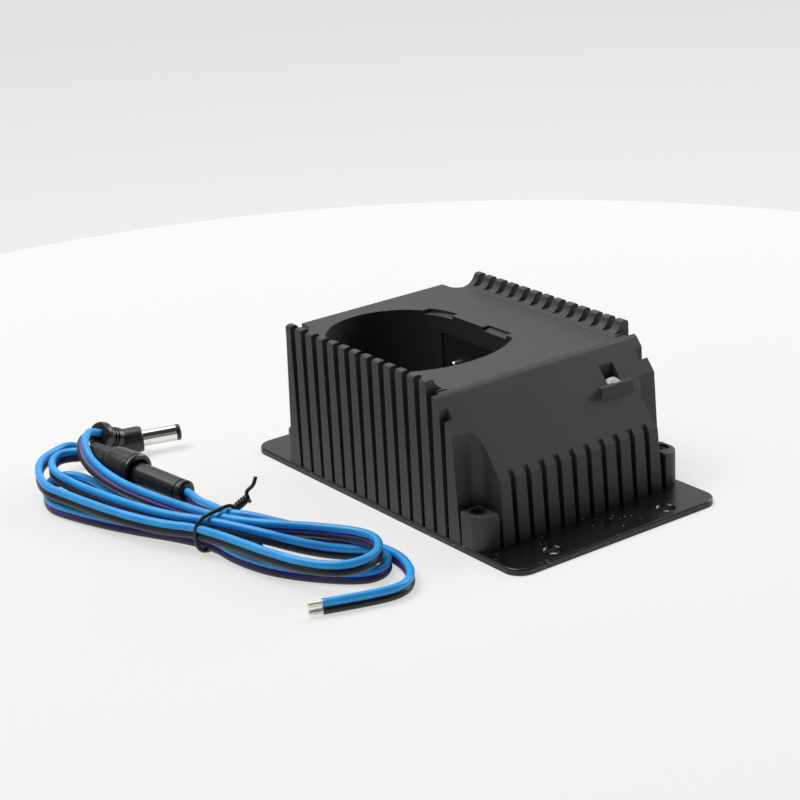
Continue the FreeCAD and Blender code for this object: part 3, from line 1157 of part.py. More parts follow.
def build_twist_tie():
    """The wire tie: a loop round the hank, and its two twisted ends standing off the side."""
    along = V(TIE_ACROSS[1], -TIE_ACROSS[0], 0)
    side = V(TIE_ACROSS[0], TIE_ACROSS[1], 0)
    centre = V(TIE_AT[0], TIE_AT[1], TIE_MID_Z)
    stops = []
    for i in range(TIE_STOPS + 1):
        angle = math.radians(TIE_OPENING + i * (360 - 2 * TIE_OPENING) / TIE_STOPS)
        stops.append((centre + side * (TIE_HALF_WIDTH * squared(math.cos(angle)))
                      + UP * (TIE_HALF_HEIGHT * squared(math.sin(angle)))
                      + along * (TIE_SKEW * (i / TIE_STOPS - 0.5)), None))
    loop = stops
    out = V(*TIE_KNOT_END) - V(*TIE_KNOT)
    out_length = out.Length
    out.normalize()
    across = out.cross(UP)
    across.normalize()
    up = across.cross(out)
    twist = []
    for strand in (0, 180):
        strand_stops = []
        for i in range(TIE_TWISTS * 4 + 1):
            angle = math.radians(strand + i * 90)
            strand_stops.append((V(*TIE_KNOT) + out * (out_length * i / (TIE_TWISTS * 4))
                                 + across * (TIE_TWIST_R * math.cos(angle)) + up * (TIE_TWIST_R * math.sin(angle)), None))
        twist.append(strand_stops)
    whole = list(reversed(twist[0])) + loop + twist[1] + [(V(*p), None) for p in TIE_FREE_END]
    arcs = route_arcs(whole)
    edges = [(Part.LineSegment(a, c) if b is None else Part.Arc(a, b, c)).toShape() for a, b, c in arcs]
    wire = Part.Wire(edges)
    return wire.makePipeShell([wire_ring(TIE_WIRE_R, arcs[0][0], edges[0].tangentAt(edges[0].FirstParameter))], True, False)


def build_bare_ends():
    """The two tinned conductor ends at the tail."""
    end, before = V(*TAIL_STRETCH[-1]), V(*TAIL_STRETCH[-2])
    out = end - before
    out.normalize()
    ends = []
    for s in (-1, 1):
        at = end + UP * (s * (LEAD_HEIGHT - LEAD_WIDTH) / 2) - out * BARE_SEAT
        ends.append(rod(BARE_R, BARE_LENGTH + BARE_SEAT, at, out))
    return Part.makeCompound(ends)


write("housing", build_housing())
write("base_plate", build_base_plate())
write("housing_screws", build_housing_screws())
write("contact_block", build_contact_block())
for i, side_name in enumerate(("negative", "positive")):
    write("contact_pin_" + side_name, build_contact_pin(PIN_YS[i]))
    write("contact_spring_" + side_name, build_contact_spring(PIN_YS[i]))
    write("contact_terminal_" + side_name, build_contact_terminal(PIN_YS[i]))
    write("contact_wire_" + side_name, build_contact_wires(i))
write("status_lamp", build_status_lamp())
write("status_lamp_leads", build_lamp_leads())
write("circuit_board", build_circuit_board())
write("board_screws", build_board_screws())
write("supply_socket", build_supply_socket())
write("supply_socket_pin", build_socket_pin())
write("capacitors", build_capacitors())
write("inductor", build_inductor())
write("charge_controller", build_charge_controller())
write("power_transistor", build_power_transistor())
write("rectifier_diodes", build_rectifier_diodes())
write("plug_body", build_plug_body())
write("plug_barrel", build_plug_barrel())
write("plug_insulator", build_plug_insulator())
write("plug_contact", build_plug_contact())
write("fuse_cap", build_fuse_cap())
write("fuse_body", build_fuse_body())
write("fuse_glass", build_fuse())
write("fuse_ends", build_fuse_ends())
write("fuse_contacts", build_fuse_contacts())
write("fuse_spring", build_fuse_spring())
supply, output = build_supply_route(), build_output_route()
measure_lead("supply_lead", supply)
measure_lead("output_lead", output)
write("supply_lead", twin_tube(supply))
write("output_lead", twin_tube(output).cut(build_bare_ends()))
write("bare_ends", build_bare_ends())
write("twist_tie", build_twist_tie())
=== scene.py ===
"""Looks of the lamp battery charger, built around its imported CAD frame.

The charger is a ribbed black housing on a flanged base plate. Beside it lies its twin lead in a
tied hank, with an angled barrel plug at one end and an in-line fuse holder near the other.
Every length is in metres unless a name says otherwise, in the frame of the CAD.
"""

from __future__ import annotations

import logging
import math
from dataclasses import dataclass, field
from enum import Enum

import bmesh
import bpy
from mathutils import Matrix, Vector

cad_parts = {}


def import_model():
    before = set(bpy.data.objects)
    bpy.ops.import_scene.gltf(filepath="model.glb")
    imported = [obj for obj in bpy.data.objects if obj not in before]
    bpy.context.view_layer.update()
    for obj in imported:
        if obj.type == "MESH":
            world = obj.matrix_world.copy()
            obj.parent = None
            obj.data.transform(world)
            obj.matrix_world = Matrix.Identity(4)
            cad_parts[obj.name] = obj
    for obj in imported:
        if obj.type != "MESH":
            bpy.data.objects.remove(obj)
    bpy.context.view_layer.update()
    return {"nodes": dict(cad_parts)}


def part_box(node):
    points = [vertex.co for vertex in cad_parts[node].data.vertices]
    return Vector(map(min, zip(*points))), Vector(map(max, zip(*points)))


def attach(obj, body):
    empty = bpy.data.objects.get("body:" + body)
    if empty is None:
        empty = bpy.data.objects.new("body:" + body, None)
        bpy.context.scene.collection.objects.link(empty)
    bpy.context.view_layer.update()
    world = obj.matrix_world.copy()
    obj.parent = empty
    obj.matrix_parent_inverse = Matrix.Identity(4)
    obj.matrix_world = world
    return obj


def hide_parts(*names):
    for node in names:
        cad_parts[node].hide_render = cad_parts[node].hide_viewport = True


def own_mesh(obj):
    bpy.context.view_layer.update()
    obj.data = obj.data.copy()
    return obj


log = logging.getLogger("lamp_charger")

MM = 0.001
# Points of a CAD mesh that lie this near each other become one.
MERGE = 0.004 * MM
BODY = "charger"


# Shader expressions


class Value:
    """One shader output, with Python operators that add Math nodes behind it."""

    def __init__(self, bench: NodeBench, socket: bpy.types.NodeSocket | None) -> None:
        """Wraps a socket.

        Args:
            bench: The node bench that the socket belongs to.
            socket: The output socket, or none for a node without outputs.
        """
        self.bench = bench
        self.socket = socket

    def _math(self, operation: str, *operands: Value | float, clamp: bool = False) -> Value:
        """Adds one Math node.

        Args:
            operation: The node's operation.
            operands: Its inputs, in order.
            clamp: Whether the result is held between 0 and 1.

        Returns:
            The node's result.
        """
        settings = {"operation": operation, "use_clamp": clamp}
        return self.bench.add("ShaderNodeMath", settings, dict(enumerate(operands)))

    def __add__(self, other: Value | float) -> Value:
        """Self plus other."""
        return self._math("ADD", self, other)

    def __radd__(self, other: float) -> Value:
        """Other plus self."""
        return self._math("ADD", other, self)

    def __sub__(self, other: Value | float) -> Value:
        """Self minus other."""
        return self._math("SUBTRACT", self, other)

    def __rsub__(self, other: float) -> Value:
        """Other minus self."""
        return self._math("SUBTRACT", other, self)

    def __mul__(self, other: Value | float) -> Value:
        """Self times other."""
        return self._math("MULTIPLY", self, other)

    def __rmul__(self, other: float) -> Value:
        """Other times self."""
        return self._math("MULTIPLY", other, self)

    def larger(self, other: Value) -> Value:
        """The larger of two values."""
        return self._math("MAXIMUM", self, other)

    def above(self, edge: float, soft: float) -> Value:
        """A mask that is 1 above an edge and 0 below it.

        Args:
            edge: Where the mask is one half.
            soft: The width over which it turns.

        Returns:
            The mask.
        """
        return self._math("MULTIPLY_ADD", self, 1.0 / soft, 0.5 - edge / soft, clamp=True)

    def near(self, centre: float, half_width: float, soft: float) -> Value:
        """A mask that is 1 within a half width of a centre, with soft edges."""
        return 1.0 - self._math("ABSOLUTE", self - centre).above(half_width, soft)


class NodeBench:
    """Builds one material's node tree."""

    def __init__(self, name: str) -> None:
        """Starts an empty material.

        Args:
            name: The material's name.
        """
        self.material = bpy.data.materials.new(name)
        self.material.use_nodes = True
        self.tree = self.material.node_tree
        self.tree.nodes.clear()

    def add(self, kind: str, settings: dict | None = None, inputs: dict | None = None,
            output: int | str = 0) -> Value:
        """Adds any node.

        Args:
            kind: The node's type name.
            settings: Properties set before the inputs.
            inputs: Socket name or index to a value or a link.
            output: The output that is returned.

        Returns:
            The chosen output, or an empty value for a node that has none.
        """
        node = self.tree.nodes.new(kind)
        for key, setting in (settings or {}).items():
            setattr(node, key, setting)
        for key, value in (inputs or {}).items():
            if isinstance(value, Value):
                self.tree.links.new(value.socket, node.inputs[key])
            else:
                node.inputs[key].default_value = value
        return Value(self, node.outputs[output] if node.outputs else None)

    def place(self) -> Value:
        """Object coordinates, in metres."""
        return self.add("ShaderNodeTexCoord", output="Object")

    def parts(self, vector: Value) -> tuple[Value, ...]:
        """The x, y and z of a vector."""
        first = self.add("ShaderNodeSeparateXYZ", None, {0: vector})
        return tuple(Value(self, output) for output in first.socket.node.outputs)

    def uv(self) -> tuple[Value, ...]:
        """The two coordinates of the piece's own UV map."""
        return self.parts(self.add("ShaderNodeTexCoord", output="UV"))[:2]

    def flat_place(self) -> tuple[Value, ...]:
        """The x, y and z of Object coordinates."""
        return self.parts(self.place())

    def stretched(self, scale: tuple[float, float, float]) -> Value:
        """Object coordinates times a scale for each axis."""
        return self.add("ShaderNodeMapping", None, {"Vector": self.place(), "Scale": scale})

    def noise(self, scale: float, detail: float = 2.0, roughness: float = 0.5,
              vector: Value | None = None) -> Value:
        """A noise pattern on Object coordinates.

        Args:
            scale: Waves per metre.
            detail: Octaves.
            roughness: The strength of the higher octaves.
            vector: Other coordinates to read.

        Returns:
            The pattern, about 0.5.
        """
        inputs = {"Vector": vector or self.place(), "Scale": scale, "Detail": detail,
                  "Roughness": roughness}
        return self.add("ShaderNodeTexNoise", None, inputs)

    def cells(self, scale: float) -> Value:
        """Distance to the nearest of many scattered points."""
        return self.add("ShaderNodeTexVoronoi", None, {"Vector": self.place(), "Scale": scale})

    def blend(self, low: tuple | Value, high: tuple | Value, factor: Value | float) -> Value:
        """Mixes two colours.

        Args:
            low: The colour at factor 0.
            high: The colour at factor 1.
            factor: The mask.

        Returns:
            The mixed colour.
        """
        return self.add("ShaderNodeMix", {"data_type": "RGBA"}, {0: factor, 6: low, 7: high}, 2)

    def bump(self, height: Value, strength: float, distance: float) -> Value:
        """A bumped normal.

        Args:
            height: The height pattern.
            strength: How much of the bump is used.
            distance: The depth of height 1, in metres.

        Returns:
            The normal.
        """
        inputs = {"Height": height, "Strength": strength, "Distance": distance}
        return self.add("ShaderNodeBump", None, inputs)

    def finish(self, **sockets: Value | float | tuple) -> bpy.types.Material:
        """Ends the tree in a Principled shader.

        Args:
            sockets: Principled inputs, with _ for a space.

        Returns:
            The material.
        """
        inputs = {key.replace("_", " "): value for key, value in sockets.items()}
        shader = self.add("ShaderNodeBsdfPrincipled", None, inputs)
        self.add_output(shader)
        return self.material

    def add_output(self, shader: Value) -> None:
        """Links a shader to the material's output."""
        self.add("ShaderNodeOutputMaterial", None, {"Surface": shader})


def rgba(red: float, green: float, blue: float) -> tuple[float, float, float, float]:
    """An opaque linear colour."""
    return (red, green, blue, 1.0)


def scaled(colour: tuple, factor: float) -> tuple[float, float, float, float]:
    """A colour made lighter or darker."""
    return rgba(*(min(1.0, part * factor) for part in colour[:3]))


# Finishes


@dataclass(frozen=True)
class SparkPlastic:
    """Moulded plastic with a spark-eroded texture, as on the housing.

    Attributes:
        name: The material's name.
        colour: Its linear base colour.
        roughness: Its middle roughness.
        grain: Texture cells per metre.
        depth: The texture's depth.
        strength: How much of the texture's bump is used.
        cloud: How far the colour varies over the piece.
        spark: How much lighter the texture's bright specks are than the colour.
        coarse_from: The height from which the texture is at full depth, or none for everywhere.
        coarse_soft: The height over which it deepens.
    """

    name: str
    colour: tuple
    roughness: float = 0.5
    grain: float = 2600.0
    depth: float = 0.00006
    strength: float = 0.5
    cloud: float = 0.12
    spark: float = 2.6
    coarse_from: float | None = None
    coarse_soft: float = 2.0 * MM

    def material(self) -> bpy.types.Material:
        """Builds the material.

        Returns:
            The material.
        """
        bench = NodeBench(self.name)
        cloud = bench.noise(55.0, 3.0)
        fine = bench.noise(self.grain, 3.0, 0.6)
        pits = bench.cells(self.grain * 0.55)
        low, high = scaled(self.colour, 1.0 - self.cloud), scaled(self.colour, 1.0 + self.cloud)
        base = bench.blend(low, high, cloud.above(0.5, 0.5))
        specks = fine.above(0.66, 0.14) * 0.7
        height = (fine - 0.5) * 0.7 + (pits - 0.4) * 0.5
        if self.coarse_from is not None:
            coarse = bench.flat_place()[2].above(self.coarse_from, self.coarse_soft)
            specks = specks * (0.15 + 0.85 * coarse)
            height = height * (0.35 + 0.65 * coarse)
        base = bench.blend(base, scaled(self.colour, self.spark), specks)
        rough = cloud * 0.12 + fine * 0.1 + (self.roughness - 0.11)
        return bench.finish(Base_Color=base, Roughness=rough,
                            Normal=bench.bump(height, self.strength, self.depth))


@dataclass(frozen=True)
class SatinPlastic:
    """Smooth moulded plastic with faint flow marks and a light handling sheen.

    Attributes:
        name: The material's name.
        colour: Its linear base colour.
        roughness: Its middle roughness.
        flow: Flow marks per metre, across each axis.
        depth: The depth of the flow marks.
        dust: How bright the stray specks of dust are, 0 for none.
        dust_cells: Specks per metre, before most of them are thinned out.
        dust_size: A speck's size, as a share of its cell.
    """

    name: str
    colour: tuple
    roughness: float = 0.3
    flow: tuple = (160.0, 160.0, 160.0)
    depth: float = 0.00002
    dust: float = 0.0
    dust_cells: float = 520.0
    dust_size: float = 0.13

    def material(self) -> bpy.types.Material:
        """Builds the material.

        Returns:
            The material.
        """
        bench = NodeBench(self.name)
        cloud = bench.noise(70.0, 3.0)
        flow = bench.noise(1.0, 3.0, 0.5, bench.stretched(self.flow))
        speck = bench.noise(3200.0, 2.0)
        low, high = scaled(self.colour, 0.85), scaled(self.colour, 1.18)
        base = bench.blend(low, high, cloud.above(0.5, 0.4))
        if self.dust > 0.0:
            speckled = 1.0 - bench.cells(self.dust_cells).above(self.dust_size, 0.05)
            stray = speckled * bench.noise(60.0, 2.0).above(0.56, 0.1)
            base = bench.blend(base, rgba(self.dust, self.dust, self.dust), stray)
        rough = flow * 0.14 + speck * 0.06 + (self.roughness - 0.1)
        height = flow * 0.6 + speck * 0.25
        return bench.finish(Base_Color=base, Roughness=rough, Normal=bench.bump(height, 0.35, self.depth))


@dataclass(frozen=True)
class PlatedMetal:
    """Plated or drawn metal with fine turning marks.

    Attributes:
        name: The material's name.
        colour: Its linear base colour.
        roughness: Its middle roughness.
        grain: Scratches per metre along each axis.
        tarnish: How far dull patches darken it.
    """

    name: str
    colour: tuple
    roughness: float = 0.2
    grain: tuple = (900.0, 900.0, 4000.0)
    tarnish: float = 0.2

    def material(self) -> bpy.types.Material:
        """Builds the material.

        Returns:
            The material.
        """
        bench = NodeBench(self.name)
        patch = bench.noise(260.0, 3.0)
        marks = bench.noise(1.0, 2.0, 0.5, bench.stretched(self.grain))
        dull = scaled(self.colour, 1.0 - self.tarnish)
        base = bench.blend(self.colour, dull, patch.above(0.58, 0.25))
        rough = marks * 0.16 + patch * 0.12 + (self.roughness - 0.14)
        return bench.finish(Base_Color=base, Metallic=1.0, Roughness=rough,
                            Normal=bench.bump(marks, 0.2, 0.00001))


@dataclass(frozen=True)
class TwinSheath:
    """The lead's sheath: a bright blue conductor over a black one with a purple line.

    Attributes:
        name: The material's name.
        blue: The upper conductor's linear colour.
        black: The lower conductor's.
        line: The thin line's.
        line_at: Where the line runs round the section, from 0 to 1.
        line_half: Half the line's width, as a share of the way round.
    """

    name: str
    blue: tuple = rgba(0.024, 0.40, 1.0)
    black: tuple = rgba(0.011, 0.012, 0.014)
    line: tuple = rgba(0.11, 0.045, 0.32)
    line_at: float = 0.925
    line_half: float = 0.025

    def material(self) -> bpy.types.Material:
        """Builds the material.

        Returns:
            The material.
        """
        bench = NodeBench(self.name)
        _, around = bench.uv()
        cloud = bench.noise(120.0, 3.0)
        fine = bench.noise(2600.0, 2.0)
        patch = cloud.above(0.5, 0.5)
        blue = bench.blend(scaled(self.blue, 0.82), scaled(self.blue, 1.15), patch)
        black = bench.blend(scaled(self.black, 0.8), scaled(self.black, 1.5), patch)
        black = bench.blend(black, self.line, around.near(self.line_at, self.line_half, 0.012))
        base = bench.blend(blue, black, around.above(0.5, 0.006))
        rough = cloud * 0.14 + fine * 0.05 + 0.27
        return bench.finish(Base_Color=base, Roughness=rough,
                            Normal=bench.bump(fine + cloud * 0.6, 0.2, 0.00002))


@dataclass(frozen=True)
class MilkyLens:
    """The status lamp's milky body, which lets some light through."""

    name: str
    colour: tuple = rgba(0.82, 0.86, 0.87)

    def material(self) -> bpy.types.Material:
        """Builds the material.

        Returns:
            The material.
        """
        bench = NodeBench(self.name)
        haze = bench.noise(900.0, 3.0)
        base = bench.blend(self.colour, scaled(self.colour, 0.8), haze.above(0.55, 0.3))
        return bench.finish(Base_Color=base, Roughness=haze * 0.1 + 0.12, Transmission_Weight=0.2,
                            IOR=1.5, Normal=bench.bump(haze, 0.1, 0.00002))


@dataclass(frozen=True)
class ClearGlass:
    """The fuse's glass tube."""

    name: str

    def material(self) -> bpy.types.Material:
        """Builds the material.

        Returns:
            The material.
        """
        bench = NodeBench(self.name)
        waves = bench.noise(300.0, 1.0)
        return bench.finish(Base_Color=rgba(0.93, 0.97, 0.96), Roughness=waves * 0.04 + 0.01,
                            Transmission_Weight=1.0, IOR=1.5, Normal=bench.bump(waves, 0.05, 0.00001))


@dataclass(frozen=True)
class BoardLaminate:
    """Green solder mask over a woven laminate."""

    name: str
    colour: tuple = rgba(0.012, 0.12, 0.045)

    def material(self) -> bpy.types.Material:
        """Builds the material.

        Returns:
            The material.
        """
        bench = NodeBench(self.name)
        threads = {"Vector": bench.place(), "Scale": 700.0, "Distortion": 0.6}
        weave, cross = (bench.add("ShaderNodeTexWave", {"bands_direction": way}, threads) for way in "XY")
        cloth = weave * cross
        cloud = bench.noise(90.0)
        low, high = scaled(self.colour, 0.8), scaled(self.colour, 1.35)
        base = bench.blend(low, high, cloth * 0.7 + cloud * 0.3)
        return bench.finish(Base_Color=base, Roughness=cloud * 0.1 + 0.25,
                            Normal=bench.bump(cloth, 0.15, 0.00002))


@dataclass(frozen=True)
class StudioPaper:
    """The pale table top or backdrop, shown to the camera and to gloss at a set level.

    Attributes:
        name: The material's name.
        colour: The surface's own colour, which the light falls on.
        shown: The level that the camera sees where nothing shades it.
        share: How much of that level replaces the lit surface.
        covered: Half the footprint's width and length, within which only real light counts.
        cover_soft: The width of that footprint's soft edge.
        behind: The way from the camera, along which gloss sees the paper brighter.
        behind_at: How far along it the gloss is half way up, in metres.
        behind_soft: The distance over which it rises.
        behind_least: Its level on the camera's side.
        sky: The level that is shown higher up the paper, or none.
        sky_at: The height where it is half way to that level, in metres.
        sky_soft: The height over which it turns.
    """

    name: str
    colour: tuple
    shown: tuple
    share: float
    covered: tuple | None = None
    cover_soft: float = 4.0 * MM
    behind: tuple | None = None
    behind_at: float = 1.2
    behind_soft: float = 3.0
    behind_least: float = 0.25
    sky: tuple | None = None
    sky_at: float = -0.78
    sky_soft: float = 0.42

    def material(self) -> bpy.types.Material:
        """Builds the material.

        Returns:
            The material.
        """
        bench = NodeBench(self.name)
        tooth = bench.noise(900.0, 3.0)
        base = bench.blend(self.colour, scaled(self.colour, 0.985), tooth.above(0.5, 0.6))
        paper = bench.add("ShaderNodeBsdfDiffuse", None, {"Color": base, "Roughness": 0.4})
        level: tuple | Value = self.shown
        if self.sky is not None:
            height = bench.flat_place()[2]
            level = bench.blend(self.shown, self.sky, height.above(self.sky_at, self.sky_soft))
        glow = bench.add("ShaderNodeEmission", None, {"Color": level, "Strength": 1.0})
        camera, mirrored = self._rays(bench)
        if self.behind is not None:
            way = bench.add("ShaderNodeVectorMath", {"operation": "DOT_PRODUCT"},
                            {0: bench.place(), 1: self.behind}, "Value")
            rise = way.above(self.behind_at, self.behind_soft)
            mirrored = mirrored * (self.behind_least + (1.0 - self.behind_least) * rise)
        seen = (camera + mirrored) * self.share
        if self.covered is not None:
            across, along, _ = bench.flat_place()
            inside = across.near(0.0, self.covered[0], self.cover_soft)
            seen = seen * (1.0 - inside * along.near(0.0, self.covered[1], self.cover_soft))
        mix = bench.add("ShaderNodeMixShader", None, {0: seen, 1: paper, 2: glow})
        bench.add_output(mix)
        return bench.material

    @staticmethod
    def _rays(bench: NodeBench) -> tuple[Value, Value]:
        """Masks of the camera's rays and of mirrored or refracted ones.

        Args:
            bench: The material's node bench.

        Returns:
            The two masks.
        """
        camera = bench.add("ShaderNodeLightPath", output="Is Camera Ray")
        gloss = bench.add("ShaderNodeLightPath", output="Is Glossy Ray")
        through = bench.add("ShaderNodeLightPath", output="Is Transmission Ray")
        return camera, gloss.larger(through)


class Finish(Enum):
    """Every finish on the charger and its lead."""

    HOUSING = SparkPlastic("housing_plastic", rgba(0.0325, 0.0355, 0.037), 0.52, strength=0.85,
                           coarse_from=46.5 * MM)
    PLATE = SatinPlastic("plate_plastic", rgba(0.0036, 0.0037, 0.0042), 0.3, depth=0.00004, dust=0.3)
    BLOCK = SparkPlastic("contact_plastic", rgba(0.018, 0.018, 0.02), 0.45, grain=3400.0)
    COMPONENT = SatinPlastic("component_plastic", rgba(0.014, 0.014, 0.015), 0.42)
    PLUG = SatinPlastic("plug_plastic", rgba(0.011, 0.0115, 0.013), 0.3, (90.0, 500.0, 500.0), 0.00005)
    TIE = SatinPlastic("tie_plastic", rgba(0.008, 0.008, 0.009), 0.4)
    INNER_WIRE = SatinPlastic("inner_wire", rgba(0.4, 0.015, 0.012), 0.32)
    SCREW = PlatedMetal("screw_black_oxide", rgba(0.05, 0.05, 0.052), 0.45)
    STEEL = PlatedMetal("screw_steel", rgba(0.42, 0.42, 0.43), 0.3)
    CONTACT = PlatedMetal("contact_metal", rgba(0.78, 0.75, 0.69), 0.18)
    NICKEL = PlatedMetal("barrel_nickel", rgba(0.8, 0.79, 0.76), 0.13, tarnish=0.12)
    ALUMINIUM = PlatedMetal("can_aluminium", rgba(0.55, 0.57, 0.62), 0.32)
    COPPER = PlatedMetal("winding_copper", rgba(0.62, 0.27, 0.1), 0.3, (300.0, 300.0, 2600.0), 0.35)
    TINNED = PlatedMetal("tinned_copper", rgba(0.86, 0.84, 0.78), 0.5, (3200.0, 900.0, 3200.0), 0.15)
    SHEATH = TwinSheath("lead_sheath")
    LENS = MilkyLens("lamp_lens")
    GLASS = ClearGlass("fuse_glass")
    BOARD = BoardLaminate("board_laminate")


class Palette:
    """Builds each finish once and hands it out."""

    def __init__(self) -> None:
        """Starts with nothing built."""
        self._made: dict[Finish, bpy.types.Material] = {}

    def dress(self, piece: bpy.types.Object, finish: Finish) -> None:
        """Gives a piece one finish all over.

        Args:
            piece: The piece or CAD node.
            finish: The finish.
        """
        if finish not in self._made:
            self._made[finish] = finish.value.material()
        piece.data.materials.clear()
        piece.data.materials.append(self._made[finish])
        log.info("%s in %s", piece.name, finish.value.name)

    def stand_in(self, piece: bpy.types.Object, finish: Finish, node: str) -> None:
        """Finishes a piece and puts it in a CAD node's place on the charger.

        Args:
            piece: The piece.
            finish: The finish.
            node: The CAD node's name.
        """
        self.dress(piece, finish)
        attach(piece, BODY)
        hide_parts(node)
        log.info("%s stands in for %s with %d faces", piece.name, node, len(piece.data.polygons))


# Mesh work that the sub-assemblies share


class Shop:
    """Mesh work that several sub-assemblies share."""

    @staticmethod
    def deselect() -> None:
        """Leaves edit mode and selects nothing."""
        if bpy.context.object is not None and bpy.context.object.mode != "OBJECT":
            bpy.ops.object.mode_set(mode="OBJECT")
        bpy.ops.object.select_all(action="DESELECT")

    @classmethod
    def activate(cls, piece: bpy.types.Object) -> None:
        """Selects one piece alone.

        Args:
            piece: The piece.
        """
        cls.deselect()
        piece.select_set(True)
        bpy.context.view_layer.objects.active = piece

    @staticmethod
    def edit_all() -> None:
        """Goes into edit mode with the whole mesh selected."""
        bpy.ops.object.mode_set(mode="EDIT")
        bpy.ops.mesh.select_all(action="SELECT")

    @staticmethod
    def added(name: str, data: bpy.types.ID) -> bpy.types.Object:
        """Adds an object to the scene.

        Args:
            name: The object's name.
            data: The mesh, curve, light or camera that it holds.

        Returns:
            The object.
        """
        piece = bpy.data.objects.new(name, data)
        bpy.context.scene.collection.objects.link(piece)
        return piece

    @classmethod
    def drawn(cls, name: str, shape: bmesh.types.BMesh) -> bpy.types.Object:
        """Adds a shape that was drawn face by face as a piece.

        Args:
            name: The piece's name.
            shape: The shape, which is freed.

        Returns:
            The piece.
        """
        mesh = bpy.data.meshes.new(name)
        shape.to_mesh(mesh)
        shape.free()
        return cls.added(name, mesh)

    @classmethod
    def merged_copy(cls, node: bpy.types.Object, name: str) -> bpy.types.Object:
        """A copy of a CAD node as one connected mesh, with the CAD's own triangles.

        Args:
            node: The CAD node.
            name: The copy's name.

        Returns:
            The copy.
        """
        mesh = node.data.copy()
        mesh.name = name
        if "custom_normal" in mesh.attributes:
            mesh.attributes.remove(mesh.attributes["custom_normal"])
        piece = cls.added(name, mesh)
        cls.activate(piece)
        cls.edit_all()
        bpy.ops.mesh.remove_doubles(threshold=MERGE)
        bpy.ops.object.mode_set(mode="OBJECT")
        return piece

    @classmethod
    def round_edges(cls, piece: bpy.types.Object, width: float, angle: float) -> None:
        """Rounds every edge that is sharper than an angle.

        Args:
            piece: The piece.
            width: The rounding's width.
            angle: The least angle between faces, in degrees.
        """
        cls.activate(piece)
        bevel = piece.modifiers.new("edges", "BEVEL")
        bevel.width = width
        bevel.segments = 2
        bevel.limit_method = "ANGLE"
        bevel.angle_limit = math.radians(angle)
        bevel.harden_normals = False
        bpy.ops.object.modifier_apply(modifier=bevel.name)

    @classmethod
    def smooth(cls, piece: bpy.types.Object, angle: float) -> None:
        """Shades a piece smooth, with its wide faces kept flat.

        Args:
            piece: The piece.
            angle: The angle between faces up to which it is smooth, in degrees.
        """
        cls.activate(piece)
        bpy.ops.object.shade_smooth_by_angle(angle=math.radians(angle), keep_sharp_edges=False)
        weigh = piece.modifiers.new("weigh", "WEIGHTED_NORMAL")
        weigh.mode = "FACE_AREA"
        weigh.keep_sharp = True
        bpy.ops.object.modifier_apply(modifier=weigh.name)

    @classmethod
    def smooth_line(cls, name: str, route: list, resolution: int) -> list[Vector]:
        """Reads the points of the smooth spline that a route's points control.

        Args:
            name: A name for the spline.
            route: The control points, in millimetres.
            resolution: Steps from one control point to the next.

        Returns:
            The points, in metres.
        """
        curve = bpy.data.curves.new(name, "CURVE")
        curve.dimensions = "3D"
        curve.resolution_u = resolution
        spline = curve.splines.new("NURBS")
        spline.points.add(len(route) - 1)
        for point, place in zip(spline.points, route):
            point.co = (*(part * MM for part in place), 1.0)
        spline.order_u = 3
        spline.use_endpoint_u = True
        holder = cls.added(name, curve)
        bpy.context.view_layer.update()
        depsgraph = bpy.context.evaluated_depsgraph_get()
        line = bpy.data.meshes.new_from_object(holder.evaluated_get(depsgraph))
        points = [vertex.co.copy() for vertex in line.vertices]
        bpy.data.objects.remove(holder)
        bpy.data.curves.remove(curve)
        bpy.data.meshes.remove(line)
        return points

    @staticmethod
    def heading(points: list[Vector], i: int) -> Vector:
        """The way that a line runs at its point number i."""
        return (points[min(i + 1, len(points) - 1)] - points[max(i - 1, 0)]).normalized()

    @classmethod
    def tube(cls, name: str, points: list[Vector], radius: float, sides: int = 10) -> bpy.types.Object:
        """A round wire along a line, with closed ends.

        Args:
            name: The piece's name.
            points: The line's points.
            radius: The wire's radius.
            sides: Faces round the wire.

        Returns:
            The piece.
        """
        bm = bmesh.new()
        rings, across = [], Vector((0.31, 0.17, 0.93))
        for i, point in enumerate(points):
            ahead = cls.heading(points, i)
            across = (across - ahead * across.dot(ahead)).normalized()
            beside = ahead.cross(across)
            rings.append([bm.verts.new(point + (across * math.cos(a) + beside * math.sin(a)) * radius)
                          for a in (math.tau * j / sides for j in range(sides))])
        for low, high in zip(rings, rings[1:]):
            for j in range(sides):
                k = (j + 1) % sides
                bm.faces.new((low[j], low[k], high[k], high[j])).smooth = True
        bm.faces.new(reversed(rings[0]))
        bm.faces.new(rings[-1])
        bmesh.ops.recalc_face_normals(bm, faces=bm.faces)
        return cls.drawn(name, bm)

